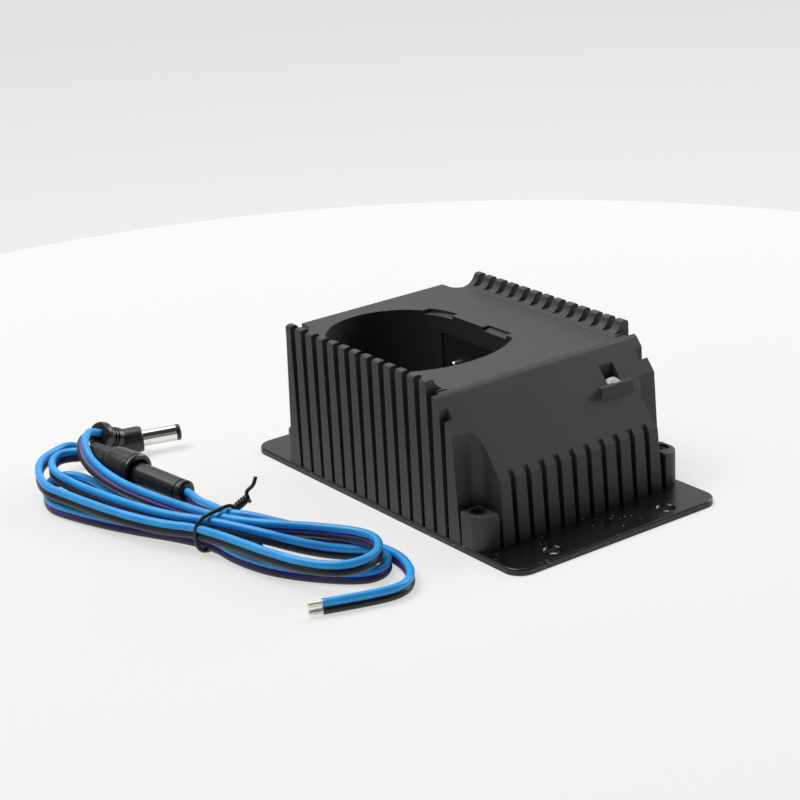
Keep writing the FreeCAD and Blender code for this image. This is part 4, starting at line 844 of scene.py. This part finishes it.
    @classmethod
    def turned(cls, name: str, profile: tuple, root: Vector, axis: Vector, sides: int) -> bpy.types.Object:
        """A turned shape, drawn out ring by ring from one circle.

        Args:
            name: The piece's name.
            profile: (distance, radius) pairs along the axis, in millimetres.
            root: Where distance 0 is, in millimetres.
            axis: The way that distance counts.
            sides: Faces round the shape.

        Returns:
            The piece, with its place in its mesh.
        """
        cls.deselect()
        start, radius = (part * MM for part in profile[0])
        bpy.ops.mesh.primitive_circle_add(vertices=sides, radius=radius, fill_type="NGON",
                                          location=(0, 0, start))
        piece = bpy.context.object
        piece.name = piece.data.name = name
        bpy.ops.object.transform_apply(location=True, rotation=True, scale=True)
        cls.edit_all()
        for (low, low_r), (high, high_r) in zip(profile, profile[1:]):
            bpy.ops.mesh.extrude_region_move(TRANSFORM_OT_translate={"value": (0, 0, (high - low) * MM)})
            share = high_r / low_r
            bpy.ops.transform.resize(value=(share, share, 1.0), center_override=(0, 0, high * MM))
        bpy.ops.mesh.select_all(action="SELECT")
        bpy.ops.mesh.normals_make_consistent(inside=False)
        bpy.ops.object.mode_set(mode="OBJECT")
        turn = Vector((0, 0, 1)).rotation_difference(axis).to_matrix().to_4x4()
        piece.data.transform(Matrix.Translation(root * MM) @ turn)
        return piece

    @classmethod
    def fused(cls, piece: bpy.types.Object, other: bpy.types.Object) -> None:
        """Fuses another piece into a piece and removes the other.

        Args:
            piece: The piece that stays.
            other: The piece that goes into it.
        """
        cls.activate(piece)
        join = piece.modifiers.new("fuse", "BOOLEAN")
        join.operation = "UNION"
        join.solver = "EXACT"
        join.object = other
        bpy.ops.object.modifier_apply(modifier=join.name)
        bpy.data.objects.remove(other)


# The charger itself


@dataclass
class Charger:
    """The housing, base plate, contacts and board.

    Attributes:
        palette: The finishes.
        nodes: The CAD nodes by name.
        shells: The two large mouldings, each with its finish and its edge radius.
        finishes: The finish of each node that is shown as the CAD has it.
        mould_angle: The least angle between faces that gets an edge radius, in degrees.
        smooth_angle: The angle up to which the mouldings are shaded smooth, in degrees.
        coil_angle: The same for the springs.
        pin_travel: How far each contact pin goes in; not used.
    """

    palette: Palette
    nodes: dict[str, bpy.types.Object]
    shells: tuple = (("housing", Finish.HOUSING, 0.3 * MM), ("base_plate", Finish.PLATE, 0.35 * MM))
    finishes: dict[str, Finish] = field(default_factory=lambda: {
        "housing_screws": Finish.SCREW, "contact_block": Finish.BLOCK,
        "contact_pin_negative": Finish.CONTACT, "contact_pin_positive": Finish.CONTACT,
        "contact_terminal_negative": Finish.CONTACT, "contact_terminal_positive": Finish.CONTACT,
        "contact_wire_negative": Finish.INNER_WIRE, "contact_wire_positive": Finish.INNER_WIRE,
        "status_lamp_leads": Finish.TINNED, "circuit_board": Finish.BOARD,
        "board_screws": Finish.STEEL, "supply_socket": Finish.COMPONENT,
        "supply_socket_pin": Finish.CONTACT, "capacitors": Finish.ALUMINIUM,
        "inductor": Finish.COPPER, "charge_controller": Finish.COMPONENT,
        "power_transistor": Finish.COMPONENT, "rectifier_diodes": Finish.COMPONENT,
    })
    mould_angle: float = 28.0
    smooth_angle: float = 38.0
    coil_angle: float = 50.0
    pin_travel: float = 1.8 * MM

    def build(self) -> None:
        """Moulds the two large shells, dresses the nodes and winds the springs."""
        for name, finish, radius in self.shells:
            shell = Shop.merged_copy(self.nodes[name], name + "_moulding")
            Shop.round_edges(shell, radius, self.mould_angle)
            Shop.smooth(shell, self.smooth_angle)
            self.palette.stand_in(shell, finish, name)
        for name, finish in self.finishes.items():
            self.palette.dress(self.nodes[name], finish)
        for side in ("negative", "positive"):
            self.wind_spring(side)

    def wind_spring(self, side: str) -> None:
        """Makes one contact spring from its CAD node.

        Args:
            side: The pin's name, negative or positive.
        """
        node = "contact_spring_" + side
        coil = Shop.merged_copy(self.nodes[node], "spring_coil_" + side)
        Shop.smooth(coil, self.coil_angle)
        self.palette.stand_in(coil, Finish.STEEL, node)
        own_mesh(coil)


@dataclass
class StatusLens:
    """The low faceted window of the status lamp, on its shelf under the slope.

    Attributes:
        palette: The finishes.
        width: Its size along the shelf.
        depth: Its size from the shelf's front to its back.
        height: Its height.
        sink: How far its top is below the lamp's.
        crown: The top's share of the width and of the depth.
        edge_r: The radius along its edges.
        edge_angle: The least angle between faces that gets it, in degrees.
        smooth_angle: The angle up to which it is shaded smooth, in degrees.
    """

    palette: Palette
    width: float = 5.2 * MM
    depth: float = 4.2 * MM
    height: float = 2.6 * MM
    sink: float = 0.3 * MM
    crown: tuple = (0.42, 0.3)
    edge_r: float = 0.18 * MM
    edge_angle: float = 20.0
    smooth_angle: float = 30.0

    def build(self) -> None:
        """Draws up the window from a small block and cuts its corners to facets."""
        low, high = (Vector(corner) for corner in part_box("status_lamp"))
        centre = (low + high) / 2
        Shop.deselect()
        foot = high.z - self.height - self.sink
        half = self.height / 2
        bpy.ops.mesh.primitive_cube_add(size=1.0, location=(centre.x, centre.y, foot + half / 2))
        piece = bpy.context.object
        piece.name = piece.data.name = "status_lens"
        piece.scale = (self.width, self.depth, half)
        bpy.ops.object.transform_apply(location=True, rotation=True, scale=True)
        bpy.ops.object.mode_set(mode="EDIT")
        bpy.ops.mesh.select_all(action="DESELECT")
        shape = bmesh.from_edit_mesh(piece.data)
        for face in shape.faces:
            face.select = face.normal.z > 0.9
        bmesh.update_edit_mesh(piece.data)
        bpy.ops.mesh.extrude_region_move(TRANSFORM_OT_translate={"value": (0, 0, half)})
        top = (centre.x, centre.y, foot + self.height)
        bpy.ops.transform.resize(value=(*self.crown, 1.0), center_override=top)
        bpy.ops.object.mode_set(mode="OBJECT")
        Shop.round_edges(piece, self.edge_r, self.edge_angle)
        Shop.smooth(piece, self.smooth_angle)
        self.palette.stand_in(piece, Finish.LENS, "status_lamp")


@dataclass
class PlugMoulding:
    """The angled plug's moulding: a thick disc round the cord, a slotted neck and the arm.

    Every place, distance and radius is in millimetres.

    Attributes:
        palette: The finishes.
        face: Where the cord enters the disc.
        head_way: The way from the disc into the elbow.
        elbow: Where neck and arm meet.
        tip: The barrel's tip.
        barrel_length: How much of the way from elbow to tip is bare barrel.
        head: The (distance, radius) profile of the disc, the slotted neck and the elbow.
        arm_root: The arm's profile at its elbow end.
        arm_lip: Its profile at the barrel, with distances from the barrel's root.
        sides: Faces round the shape.
        smooth_angle: The angle up to which it is shaded smooth, in degrees.
    """

    palette: Palette
    face: tuple = (-86.4, 94.4, 11.0)
    head_way: tuple = (0.876, 0.231, -0.422)
    elbow: tuple = (-79.9, 98.4, 4.9)
    tip: tuple = (-57.3, 90.2, 5.6)
    barrel_length: float = 13.2
    head: tuple = (
        (0.4, 1.6), (0.0, 2.0), (0.0, 3.8), (0.35, 4.5), (1.0, 4.8), (2.6, 4.85), (3.3, 4.5), (3.6, 3.8),
        (3.8, 3.5), (3.85, 2.7), (4.45, 2.7), (4.5, 3.5), (5.1, 3.55), (5.15, 2.75), (5.75, 2.75),
        (5.8, 3.6), (6.4, 3.65), (6.45, 2.85), (7.05, 2.85), (7.1, 3.7), (9.2, 3.8), (10.4, 3.0),
        (10.8, 1.2),
    )
    arm_root: tuple = ((-4.2, 1.2), (-3.7, 2.9), (-2.6, 3.9), (-1.0, 4.35), (0.6, 4.45))
    arm_lip: tuple = (
        (-1.1, 4.5), (-1.0, 4.35), (-0.4, 4.35), (-0.05, 4.05), (0.0, 3.0), (0.0, 2.8), (-0.35, 2.65),
    )
    sides: int = 48
    smooth_angle: float = 32.0

    def build(self) -> bpy.types.Object:
        """Turns the head and the arm and fuses them.

        Returns:
            The piece.
        """
        head = Shop.turned("plug_moulding", self.head, Vector(self.face), Vector(self.head_way), self.sides)
        way = Vector(self.tip) - Vector(self.elbow)
        reach = way.length - self.barrel_length
        profile = self.arm_root + tuple((reach + away, radius) for away, radius in self.arm_lip)
        arm = Shop.turned("plug_arm", profile, Vector(self.elbow), way.normalized(), self.sides)
        Shop.fused(head, arm)
        Shop.smooth(head, self.smooth_angle)
        self.palette.stand_in(head, Finish.PLUG, "plug_body")
        return head


@dataclass
class FuseCap:
    """The fuse holder's cap: a ribbed grip that runs into a flared round collar.

    Every place, distance and radius is in millimetres.

    Attributes:
        palette: The finishes.
        mouth: The middle of the cap's open end.
        body_end: The far end of the fuse body, on the same axis.
        grip: The grip's (distance, radius) profile.
        grip_sides: The grip's flat sides.
        grip_edge_r: The radius along their edges, in metres.
        grip_angle: The least angle between faces that gets it, in degrees.
        collar: The collar's profile, over its rim and into its bore.
        collar_sides: Faces round the collar.
        smooth_angle: The angle up to which the cap is shaded smooth, in degrees.
    """

    palette: Palette
    mouth: tuple = (-88.5, 64.8, 6.7)
    body_end: tuple = (-83.3, 43.3, 4.6)
    grip: tuple = ((-21.5, 3.6), (-21.3, 4.2), (-20.8, 4.5), (-16.0, 4.8), (-11.6, 5.15), (-10.0, 5.2))
    grip_sides: int = 10
    grip_edge_r: float = 0.3 * MM
    grip_angle: float = 20.0
    collar: tuple = (
        (-12.6, 4.6), (-12.4, 5.2), (-11.0, 5.9), (-9.0, 6.2), (-1.6, 6.5), (-1.5, 6.3), (-1.2, 6.3),
        (-1.1, 6.55), (-0.3, 6.5), (0.1, 6.1), (0.1, 5.0), (-1.5, 4.15), (-5.8, 4.12), (-5.9, 1.0),
    )
    collar_sides: int = 56
    smooth_angle: float = 30.0

    def build(self) -> bpy.types.Object:
        """Turns the grip with flat sides and the collar round, and fuses them.

        Returns:
            The piece.
        """
        root = Vector(self.mouth)
        axis = (Vector(self.body_end) - root).normalized()
        cap = Shop.turned("fuse_cap_moulding", self.grip, root, axis, self.grip_sides)
        Shop.round_edges(cap, self.grip_edge_r, self.grip_angle)
        collar = Shop.turned("fuse_collar", self.collar, root, axis, self.collar_sides)
        Shop.fused(cap, collar)
        Shop.smooth(cap, self.smooth_angle)
        self.palette.stand_in(cap, Finish.PLUG, "fuse_cap")
        return cap


@dataclass
class HankTie:
    """The black wire tie round the hank: one strand that rings it and twists on itself.

    Attributes:
        palette: The finishes.
        middle: The ring's middle, in millimetres.
        across: The ring's sideways direction.
        ring: (sideways, up) points round the ring, in millimetres.
        wire_r: The wire's radius.
        knot_from: Where the twist starts, in millimetres.
        knot_to: Where it ends.
        turns: Its turns.
        twist_steps: Points on each turn.
        twist_r: Each strand's distance from the twist's middle, in millimetres.
        twist_swell: How much farther it is half way along.
        cut_end: The points of the short end past the twist, as (along it, below it).
        loose_end: The points of the end that stands up, in millimetres.
        line_steps: Steps along the wire from one point to the next.
    """

    palette: Palette
    middle: tuple = (-93.4, 9.0, 0.0)
    across: tuple = (0.992, 0.13, 0.0)
    ring: tuple = (
        (6.6, 12.0), (5.0, 12.7), (1.0, 12.6), (-3.4, 12.3), (-6.4, 11.6), (-8.0, 9.6), (-8.5, 6.4),
        (-7.7, 3.0), (-5.4, 1.0), (-1.0, 0.75), (3.0, 0.75), (5.4, 1.2), (6.9, 3.6), (7.2, 7.6),
        (7.3, 11.2),
    )
    wire_r: float = 0.62 * MM
    knot_from: tuple = (-86.2, 9.7, 10.9)
    knot_to: tuple = (-80.6, 11.3, 12.3)
    turns: float = 2.5
    twist_steps: int = 10
    twist_r: float = 0.72
    twist_swell: float = 0.18
    cut_end: tuple = ((0.9, 1.9), (0.4, 0.9))
    loose_end: tuple = (
        (-80.4, 11.6, 13.3), (-79.9, 12.0, 14.4), (-78.0, 11.9, 15.2), (-76.8, 12.1, 16.4),
        (-76.2, 12.3, 17.9),
    )
    line_steps: int = 5

    def twist(self, phase: float) -> list[Vector]:
        """One of the two strands of the twist, which swells a little at its middle.

        Args:
            phase: The strand's angle where the twist starts.

        Returns:
            The strand's points, in millimetres.
        """
        start, end = Vector(self.knot_from), Vector(self.knot_to)
        _, beside, over = self.round_knot()
        steps = int(self.turns * self.twist_steps)
        points = []
        for i in range(steps + 1):
            part = i / steps
            angle = math.tau * self.turns * part + phase
            radius = self.twist_r + self.twist_swell * math.sin(math.pi * part)
            points.append(start + (end - start) * part
                          + (beside * math.cos(angle) + over * math.sin(angle)) * radius)
        return points

    def round_knot(self) -> tuple[Vector, Vector, Vector]:
        """The ways along the twist, level across it and upward across it.

        Returns:
            The three directions.
        """
        way = (Vector(self.knot_to) - Vector(self.knot_from)).normalized()
        beside = way.cross(Vector((0, 0, 1))).normalized()
        return way, beside, beside.cross(way)

    def build(self) -> bpy.types.Object:
        """Draws the strand through its points and sweeps the wire.

        Returns:
            The piece.
        """
        way, _, over = self.round_knot()
        route = [Vector(self.knot_to) + way * along - over * below for along, below in self.cut_end]
        route += reversed(self.twist(0.0))
        route += [Vector(self.middle) + Vector(self.across) * a + Vector((0, 0, b)) for a, b in self.ring]
        route += self.twist(math.pi)
        route += [Vector(place) for place in self.loose_end]
        piece = Shop.tube("hank_tie", Shop.smooth_line("tie_line", route, self.line_steps), self.wire_r)
        self.palette.stand_in(piece, Finish.TIE, "twist_tie")
        return piece


@dataclass
class LeadFittings:
    """The parts of the plug, the fuse holder and the lead's end that are shown as the CAD has them.

    Attributes:
        palette: The finishes.
        nodes: The CAD nodes by name.
        finishes: The finish of each of them.
    """

    palette: Palette
    nodes: dict[str, bpy.types.Object]
    finishes: dict[str, Finish] = field(default_factory=lambda: {
        "plug_barrel": Finish.NICKEL, "plug_insulator": Finish.PLUG,
        "plug_contact": Finish.CONTACT, "fuse_body": Finish.PLUG,
        "fuse_glass": Finish.GLASS, "fuse_ends": Finish.CONTACT, "fuse_contacts": Finish.CONTACT,
        "fuse_spring": Finish.STEEL, "bare_ends": Finish.TINNED,
    })

    def build(self) -> None:
        """Dresses every node."""
        for name, finish in self.finishes.items():
            self.palette.dress(self.nodes[name], finish)


# The twin lead

SUPPLY_ROUTE = (
    (-86.4, 94.4, 11.0), (-90.0, 93.3, 12.8), (-93.5, 89.4, 14.4), (-97.7, 84.4, 13.6),
    (-100.1, 76.1, 10.2), (-100.6, 59.8, 8.6), (-98.7, 41.9, 8.4), (-95.8, 25.6, 8.6), (-92.3, 9.2, 9.0),
    (-85.6, -3.4, 9.0), (-74.0, -15.2, 8.3), (-65.8, -28.0, 8.3), (-65.3, -37.0, 8.3), (-72.0, -44.4, 8.3),
    (-81.8, -45.4, 8.3), (-88.7, -39.2, 8.3), (-94.1, -25.6, 8.3), (-99.4, 8.1, 8.0), (-106.2, 21.0, 7.2),
    (-112.9, 38.5, 7.8), (-117.2, 60.9, 8.0), (-119.6, 71.9, 8.6), (-111.9, 89.3, 8.8), (-100.9, 97.2, 7.8),
    (-94.0, 99.2, 7.6), (-89.2, 94.2, 4.4), (-92.3, 86.0, 2.7), (-96.3, 77.0, 2.7), (-96.6, 62.0, 2.7),
    (-94.9, 43.0, 2.7), (-92.5, 28.0, 3.0), (-90.2, 9.4, 4.0), (-87.9, 0.0, 3.1), (-87.5, -5.4, 2.7),
    (-89.1, -8.4, 2.7), (-91.6, -8.4, 2.7), (-93.0, -5.4, 2.7), (-92.9, 0.0, 3.1), (-93.3, 9.0, 4.0),
    (-95.8, 28.0, 3.0), (-98.2, 43.0, 2.7), (-99.8, 60.0, 2.7), (-99.1, 79.7, 2.7), (-102.8, 87.9, 2.7),
    (-110.1, 86.7, 2.7), (-118.7, 71.6, 2.7), (-116.7, 60.3, 2.7), (-109.6, 40.0, 2.7), (-96.5, 8.6, 4.0),
    (-95.9, -6.2, 2.7), (-91.3, -23.2, 2.7), (-77.9, -41.6, 2.7), (-69.6, -44.0, 2.7), (-62.8, -38.0, 2.7),
    (-64.1, -30.2, 2.7), (-71.3, -23.4, 2.8), (-79.6, -16.6, 5.0), (-88.3, -7.2, 8.3), (-95.5, 8.8, 9.0),
    (-103.3, 23.8, 8.6), (-109.1, 50.1, 8.3), (-112.0, 75.8, 8.3), (-108.3, 87.2, 8.4), (-100.6, 93.5, 8.6),
    (-93.6, 85.9, 8.7),
)
SUPPLY_ROLLS = ((0.0, -30.0), (0.010, -46.0), (0.026, -46.0), (0.055, -18.0), (0.09, 0.0))
OUTPUT_ROUTE = (
    (-83.6, 44.5, 4.7), (-83.3, 43.3, 4.6), (-84.8, 33.2, 4.6), (-87.7, 20.4, 7.8), (-89.0, 9.6, 9.3),
    (-84.6, 3.4, 9.2), (-78.8, -4.4, 7.4), (-69.0, -15.2, 4.2), (-62.0, -26.2, 2.7), (-60.3, -37.4, 2.7),
    (-62.3, -46.4, 2.7), (-66.6, -53.8, 2.7), (-73.5, -57.6, 2.7), (-85.3, -54.4, 2.7), (-95.8, -50.5, 2.7),
)


@dataclass
class TwinLead:
    """One length of the twin lead, standing on edge along a smooth route.

    Attributes:
        name: The piece's name.
        node: The CAD node that it stands for.
        route: The route's points, in millimetres.
        length: The lead's real length; not used.
        far_end: What its far end is in; not used.
        on_it: The pieces and nodes that are on it; not used.
        palette: The finishes.
        rolls: How far the pair is rolled about its line, as (run in metres, degrees) stops.
        core_r: Each conductor's radius.
        core_apart: The distance between the conductors' middles.
        arc_share: How much of the arc to where both rounds meet is drawn, which leaves a web.
        arc_steps: Faces round each conductor.
        line_steps: Steps along the line from one route point to the next.
    """

    name: str
    node: str
    route: tuple
    length: float
    far_end: str
    lay: str
    on_it: list
    palette: Palette
    rolls: tuple = ((0.0, 0.0),)
    core_r: float = 1.25 * MM
    core_apart: float = 2.4 * MM
    arc_share: float = 0.93
    arc_steps: int = 12
    line_steps: int = 12

    def section(self) -> list[tuple[float, float]]:
        """The figure-of-eight outline of the two conductors.

        Returns:
            (across, up) pairs, from the right-hand groove over the top and back under.
        """
        half = self.core_apart / 2
        waist = math.asin(half / self.core_r) * self.arc_share
        outline = []
        for centre, first in ((half, -waist), (-half, math.pi - waist)):
            for i in range(self.arc_steps + 1):
                angle = first + (math.pi + 2 * waist) * i / self.arc_steps
                outline.append((self.core_r * math.cos(angle), centre + self.core_r * math.sin(angle)))
        return outline

    def roll_at(self, run: float) -> float:
        """The roll at one place along the lead, eased between the stops.

        Args:
            run: The length of lead before that place.

        Returns:
            The roll, in radians.
        """
        low = self.rolls[0]
        for stop in self.rolls:
            if run < stop[0]:
                part = (run - low[0]) / (stop[0] - low[0])
                part = part * part * (3 - 2 * part)
                return math.radians(low[1] + (stop[1] - low[1]) * part)
            low = stop
        return math.radians(low[1])

    def sweep(self, points: list[Vector]) -> bpy.types.Object:
        """Carries the section along the line, with the ways along and round it as its UV map.

        Args:
            points: The line's points.

        Returns:
            The lead.
        """
        outline = self.section()
        count = len(outline)
        bm = bmesh.new()
        uv = bm.loops.layers.uv.new("UVMap")
        rings, runs, run = [], [], 0.0
        for i, point in enumerate(points):
            ahead = Shop.heading(points, i)
            run += (point - points[i - 1]).length if i else 0.0
            side = ahead.cross(Vector((0, 0, 1))).normalized()
            side = Matrix.Rotation(self.roll_at(run), 3, ahead) @ side
            up = side.cross(ahead)
            rings.append([bm.verts.new(point + side * a + up * b) for a, b in outline])
            runs.append(run)
        for i in range(len(rings) - 1):
            for j in range(count):
                k = (j + 1) % count
                face = bm.faces.new((rings[i][j], rings[i][k], rings[i + 1][k], rings[i + 1][j]))
                face.smooth = True
                ends = ((runs[i], j), (runs[i], j + 1), (runs[i + 1], j + 1), (runs[i + 1], j))
                for loop, (along, around) in zip(face.loops, ends):
                    loop[uv].uv = (along, around / count)
        bm.faces.new(rings[0])
        bm.faces.new(reversed(rings[-1]))
        bm.normal_update()
        return Shop.drawn(self.name, bm)

    def build(self) -> None:
        points = Shop.smooth_line(self.name + "_line", self.route, self.line_steps)
        piece = self.sweep(points)
        self.palette.stand_in(piece, Finish.SHEATH, self.node)
        self.core_apart + 2 * self.core_r
        run = sum((high - low).length for low, high in zip(points, points[1:]))
        log.info("%s: %.1f mm along its smooth line", self.name, run / MM)


# Studio


@dataclass(frozen=True)
class SoftBox:
    """A square soft light.

    Attributes:
        name: The light's name.
        at: Where it hangs.
        size: Its side.
        power: Its power in watts.
        colour: Its colour.
    """

    name: str
    at: tuple
    size: float
    power: float
    colour: tuple

    def hang(self, aim: Vector) -> None:
        """Hangs the light and turns it to a point.

        Args:
            aim: The point.
        """
        data = bpy.data.lights.new(self.name, "AREA")
        data.shape = "SQUARE"
        data.size = self.size
        data.energy = self.power
        data.color = self.colour
        lamp = Shop.added(self.name, data)
        lamp.location = self.at
        lamp.rotation_euler = (aim - Vector(self.at)).to_track_quat("-Z", "Y").to_euler()


@dataclass
class Studio:
    """The camera, the lights, the round table top and the backdrop.

    Attributes:
        camera_at: The camera's place, in millimetres.
        right: The picture's right-hand direction.
        down: The picture's downward direction.
        ahead: The viewing direction.
        focal: The focal length in pixels of the frame.
        frame: The frame's width in pixels.
        sensor: The sensor's width in millimetres.
        aim: Where the lights point.
        boxes: The lights.
        room_colour: The colour of the light from all round.
        room_level: Its level.
        table_at: The middle of the round turntable.
        table_r: Its radius.
        table_thickness: Its thickness.
        footprint: Half the base plate's width and length, with the housing on it.
        wall_r: The round backdrop's radius.
        wall_height: Its height.
        wall_middle: The height of its middle.
    """

    camera_at: tuple = (-399.92, -521.16, 271.92)
    right: tuple = (0.80198, -0.59498, -0.05312)
    down: tuple = (-0.24815, -0.25095, -0.93565)
    ahead: tuple = (0.54337, 0.76356, -0.3489)
    focal: float = 2190.92
    frame: float = 800.0
    sensor: float = 36.0
    aim: tuple = (0.0, 0.0, 0.02)
    boxes: tuple = (
        SoftBox("behind_box", (0.2, 0.6, 1.1), 0.8, 4.9, (1.0, 1.0, 1.0)),
        SoftBox("top_box", (-0.45, 0.35, 1.2), 0.8, 12.9, (1.0, 0.99, 0.985)),
        SoftBox("right_box", (1.0, 0.0, 0.6), 0.6, 7.2, (0.98, 0.99, 1.0)),
    )
    room_colour: tuple = rgba(0.9, 0.9, 0.91)
    room_level: float = 0.04
    table_at: tuple = (-0.028, 0.002)
    table_r: float = 0.3516
    table_thickness: float = 0.02
    footprint: tuple = (0.0385, 0.0680)
    wall_r: float = 4.0
    wall_height: float = 5.0
    wall_middle: float = 0.5

    def place_camera(self) -> None:
        """Sets the camera as the photograph was taken."""
        data = bpy.data.cameras.new("camera")
        data.sensor_width = self.sensor
        data.lens = self.focal / self.frame * self.sensor
        data.clip_start = 0.01
        data.clip_end = 20.0
        camera = Shop.added("camera", data)
        axes = (self.right, [-part for part in self.down], [-part for part in self.ahead])
        turn = Matrix(axes).transposed().to_4x4()
        camera.matrix_world = Matrix.Translation(Vector(self.camera_at) * MM) @ turn
        bpy.context.scene.camera = camera

    def place_lights(self) -> None:
        """Hangs the soft boxes and sets the room light."""
        for box in self.boxes:
            box.hang(Vector(self.aim))
        world = bpy.data.worlds.new("room")
        bpy.context.scene.world = world
        world.use_nodes = True
        background = world.node_tree.nodes["Background"]
        background.inputs["Color"].default_value = self.room_colour
        background.inputs["Strength"].default_value = self.room_level

    def lay_table(self) -> bpy.types.Object:
        """Lays the round white turntable.

        Returns:
            The turntable.
        """
        Shop.deselect()
        bpy.ops.mesh.primitive_circle_add(vertices=256, radius=self.table_r, fill_type="NGON",
                                          location=(*self.table_at, 0.0))
        table = bpy.context.object
        table.name = "table_top"
        Shop.edit_all()
        bpy.ops.mesh.extrude_region_move(TRANSFORM_OT_translate={"value": (0, 0, -self.table_thickness)})
        bpy.ops.mesh.normals_make_consistent(inside=False)
        bpy.ops.object.mode_set(mode="OBJECT")
        bpy.ops.object.transform_apply(location=True, rotation=True, scale=True)
        paper = StudioPaper("table_paper", rgba(0.88, 0.87, 0.865), rgba(0.985, 0.975, 0.97), 0.62,
                            covered=self.footprint)
        table.data.materials.append(paper.material())
        return table

    def stand_backdrop(self) -> bpy.types.Object:
        """Stands the backdrop round the table.

        Returns:
            The backdrop.
        """
        Shop.deselect()
        bpy.ops.mesh.primitive_cylinder_add(vertices=96, radius=self.wall_r, depth=self.wall_height,
                                            end_fill_type="NOTHING", location=(0, 0, self.wall_middle))
        wall = bpy.context.object
        wall.name = "backdrop"
        bpy.ops.object.transform_apply(location=True, rotation=True, scale=True)
        sheet = StudioPaper("backdrop_paper", rgba(0.8, 0.79, 0.79), rgba(0.872, 0.86, 0.862), 1.0,
                            behind=(*self.ahead[:2], 0.0), sky=rgba(0.775, 0.765, 0.765))
        wall.data.materials.append(sheet.material())
        wall.visible_diffuse = False
        wall.visible_shadow = False
        return wall

    def build(self) -> None:
        """Sets up the whole studio."""
        self.place_camera()
        self.place_lights()
        self.lay_table()
        self.stand_backdrop()
        bpy.context.scene.view_settings.view_transform = "Standard"


def main() -> None:
    """Builds the looks in order."""
    logging.basicConfig(level=logging.INFO, format="%(name)s: %(message)s")
    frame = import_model()
    palette = Palette()
    Studio().build()
    Charger(palette, frame["nodes"]).build()
    StatusLens(palette).build()
    LeadFittings(palette, frame["nodes"]).build()
    plug = PlugMoulding(palette).build()
    cap = FuseCap(palette).build()
    tie = HankTie(palette).build()
    on_supply = [plug, "plug_barrel", "plug_insulator", "plug_contact", cap, tie]
    on_output = ["fuse_body", "fuse_glass", "fuse_ends", "fuse_contacts", "fuse_spring", "bare_ends"]
    TwinLead("supply_cord", "supply_lead", SUPPLY_ROUTE, 0.866, "connector", "coiled", on_supply,
             palette, SUPPLY_ROLLS).build()
    TwinLead("output_cord", "output_lead", OUTPUT_ROUTE, 0.144, "bare", "loose", on_output,
             palette).build()


if __name__ == "__main__":
    main()
